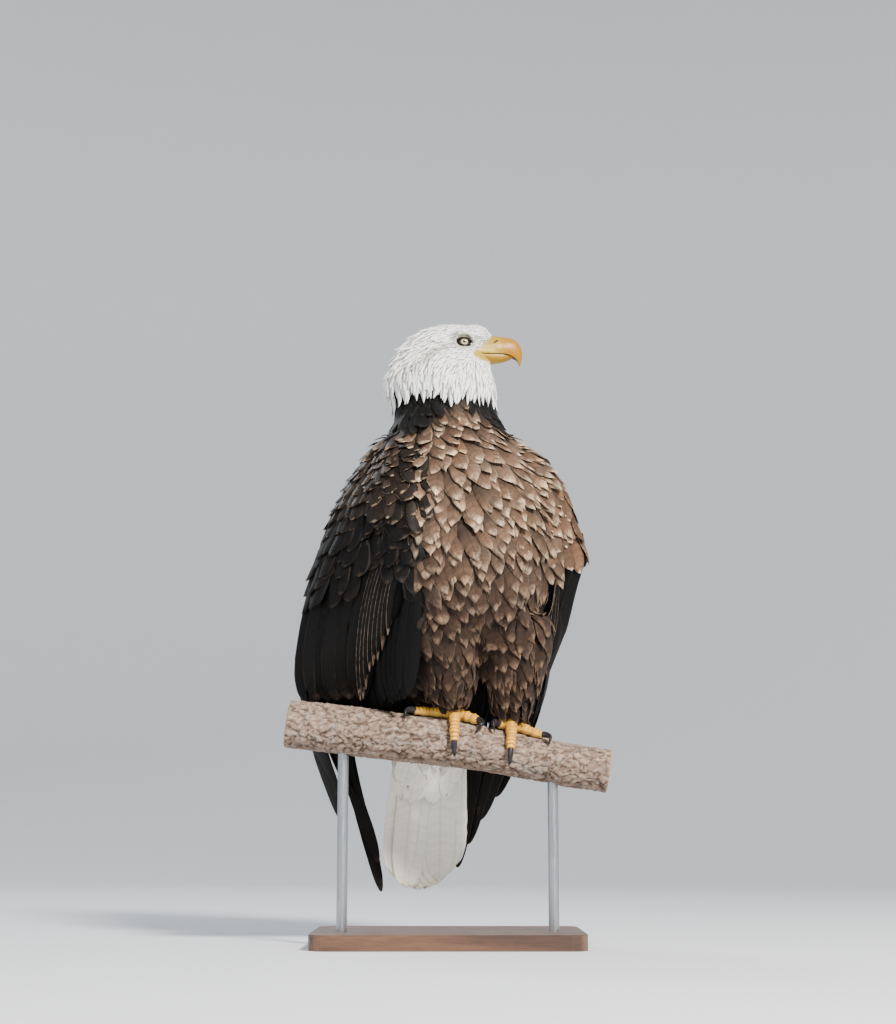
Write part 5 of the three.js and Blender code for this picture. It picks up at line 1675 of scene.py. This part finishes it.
def build_skin_piece():
    """The skin: white head and tail, yellow gape, and painted shade, dark on the body and black under the
    wings.
    """
    forward, _, level = head_coordinates(SKIN.verts)
    gape = fade(past_feathers(SKIN.verts), -1.5 * MM, 0.5 * MM) * fade(forward, 0.030, 0.038)
    gape = gape * fade(level, 0.470, 0.476) * fade(level, 0.494, 0.489)
    # painted shade: near-black skin where the wings hang over the trunk
    wing_shade_on_skin = fade(abs(SKIN.verts[:, 0]), 0.070, 0.085) * fade(SKIN.verts[:, 2], 0.27, 0.23)
    tail = belongs(SKIN.verts, "tail_coverts_under", "tail_coverts_upper")
    # painted shade: the body's skin is darker than its feathers for the gaps between them
    tint = mix(SKIN_GAP_SHADE_FRONT, SKIN_GAP_SHADE_BACK, 1 - body_front(SKIN.verts)[:, None])
    white = fade(above_collar(SKIN.verts), -0.012, 0.0)
    for colour, share in ((PAINTED_SHADE, wing_shade_on_skin), (SKIN_WHITE, white), (SKIN_TAIL, tail), (GAPE, gape)):
        tint = mix(tint, colour, share[:, None])
    body = Body()
    body.surface(SKIN, tint)
    add_lids(body)
    body.build("skin", SKIN_SURFACE, "body_feathers", [n for n in FLESH if not n.endswith("secondaries")])


SKIN_SURFACE = skin_material()
BILL_HORN = horn_material("bill_horn", 0.42, 160, 0.12, 0.12)
CLAW_HORN = horn_material("claw_horn", 0.28, 240, 0.30, 0.2)
EYE_SURFACE = eye_material()
FOOT_SKIN = foot_material()
BARK_SURFACE = bark_material()
build_skin_piece()
build_body()
build_scapulars()
build_shade_curtains()
build_thighs()
build_head()
for wing in WINGS:
    wing_face = WingFace(wing)
    build_coverts(wing, wing_face)
    build_secondaries(wing, wing_face)
    build_primaries(wing, wing_face)
build_tail()
build_tail_coverts()
build_bill()
build_eyes()
build_feet()
build_perch()
finish_node("stand_base", wood_material())
for rod in ("stand_rod_left", "stand_rod_right"):
    finish_node(rod, steel_material())

# ---------------------------------------------------------------- stage, light and camera
TARGET = Vector((0, -0.012, 0.572))
DISTANCE = 2.5
LENS = 65.1  # mm, on a sensor 36 mm wide
SKY, SKY_STRENGTH = (0.88, 0.93, 1.0, 1), 0.38
LOOK_UP = math.radians(10)


FLOOR_REACH, WALL_CURVE, WALL_TOP = 3.2, 2.6, 4.2


def build_stage():
    """A plain pale bowl: a flat floor that curves up into a wall all round."""
    profile = [(0.0, 0.0), (FLOOR_REACH, 0.0)]
    for turn in np.linspace(0.1, math.pi / 2, 14):
        profile.append((FLOOR_REACH + WALL_CURVE * math.sin(turn), WALL_CURVE * (1 - math.cos(turn))))
    profile.append((FLOOR_REACH + WALL_CURVE, WALL_TOP))
    bm = bmesh.new()
    points = [bm.verts.new((r, 0, z)) for r, z in profile]
    edges = [bm.edges.new(pair) for pair in zip(points, points[1:])]
    bmesh.ops.spin(bm, geom=points + edges, axis=(0, 0, 1), cent=(0, 0, 0), angle=2 * math.pi, steps=96)
    bmesh.ops.remove_doubles(bm, verts=bm.verts, dist=1e-4)
    bmesh.ops.recalc_face_normals(bm, faces=bm.faces)
    mesh = bpy.data.meshes.new("floor")
    bm.to_mesh(mesh)
    bm.free()
    for face in mesh.polygons:
        face.use_smooth = True
    floor = bpy.data.objects.new("floor", mesh)
    SCENE.collection.objects.link(floor)
    s = Shader("floor", 0.85)
    s.colour((0.72, 0.74, 0.77))
    mesh.materials.append(s.material)


def add_light(name, place, size, watts, colour):
    data = bpy.data.lights.new(name, "AREA")
    data.shape, data.size, data.energy, data.color = "DISK", size, watts, colour
    light = bpy.data.objects.new(name, data)
    SCENE.collection.objects.link(light)
    light.location = place
    light.rotation_euler = (TARGET - Vector(place)).to_track_quat("-Z", "Y").to_euler()


def build_lights():
    add_light("key", (1.5, -2.6, 2.6), 0.7, 360, (1.0, 0.965, 0.91))
    add_light("fill", (-2.6, -2.2, 1.5), 2.4, 22, (0.90, 0.94, 1.0))
    add_light("rim", (-1.6, 2.4, 2.6), 1.2, 60, (0.95, 0.97, 1.0))
    world = bpy.data.worlds.new("studio")
    world.use_nodes = True
    light = world.node_tree.nodes["Background"].inputs
    light["Color"].default_value, light["Strength"].default_value = SKY, SKY_STRENGTH
    SCENE.world = world


def build_camera():
    data = bpy.data.cameras.new("camera")
    data.sensor_width = 36
    data.lens = LENS
    camera = bpy.data.objects.new("camera", data)
    SCENE.collection.objects.link(camera)
    back = Vector((0, -math.cos(LOOK_UP), -math.sin(LOOK_UP)))
    camera.location = TARGET + back * DISTANCE
    camera.rotation_euler = (-back).to_track_quat("-Z", "Y").to_euler()
    SCENE.camera = camera


build_stage()
build_lights()
build_camera()
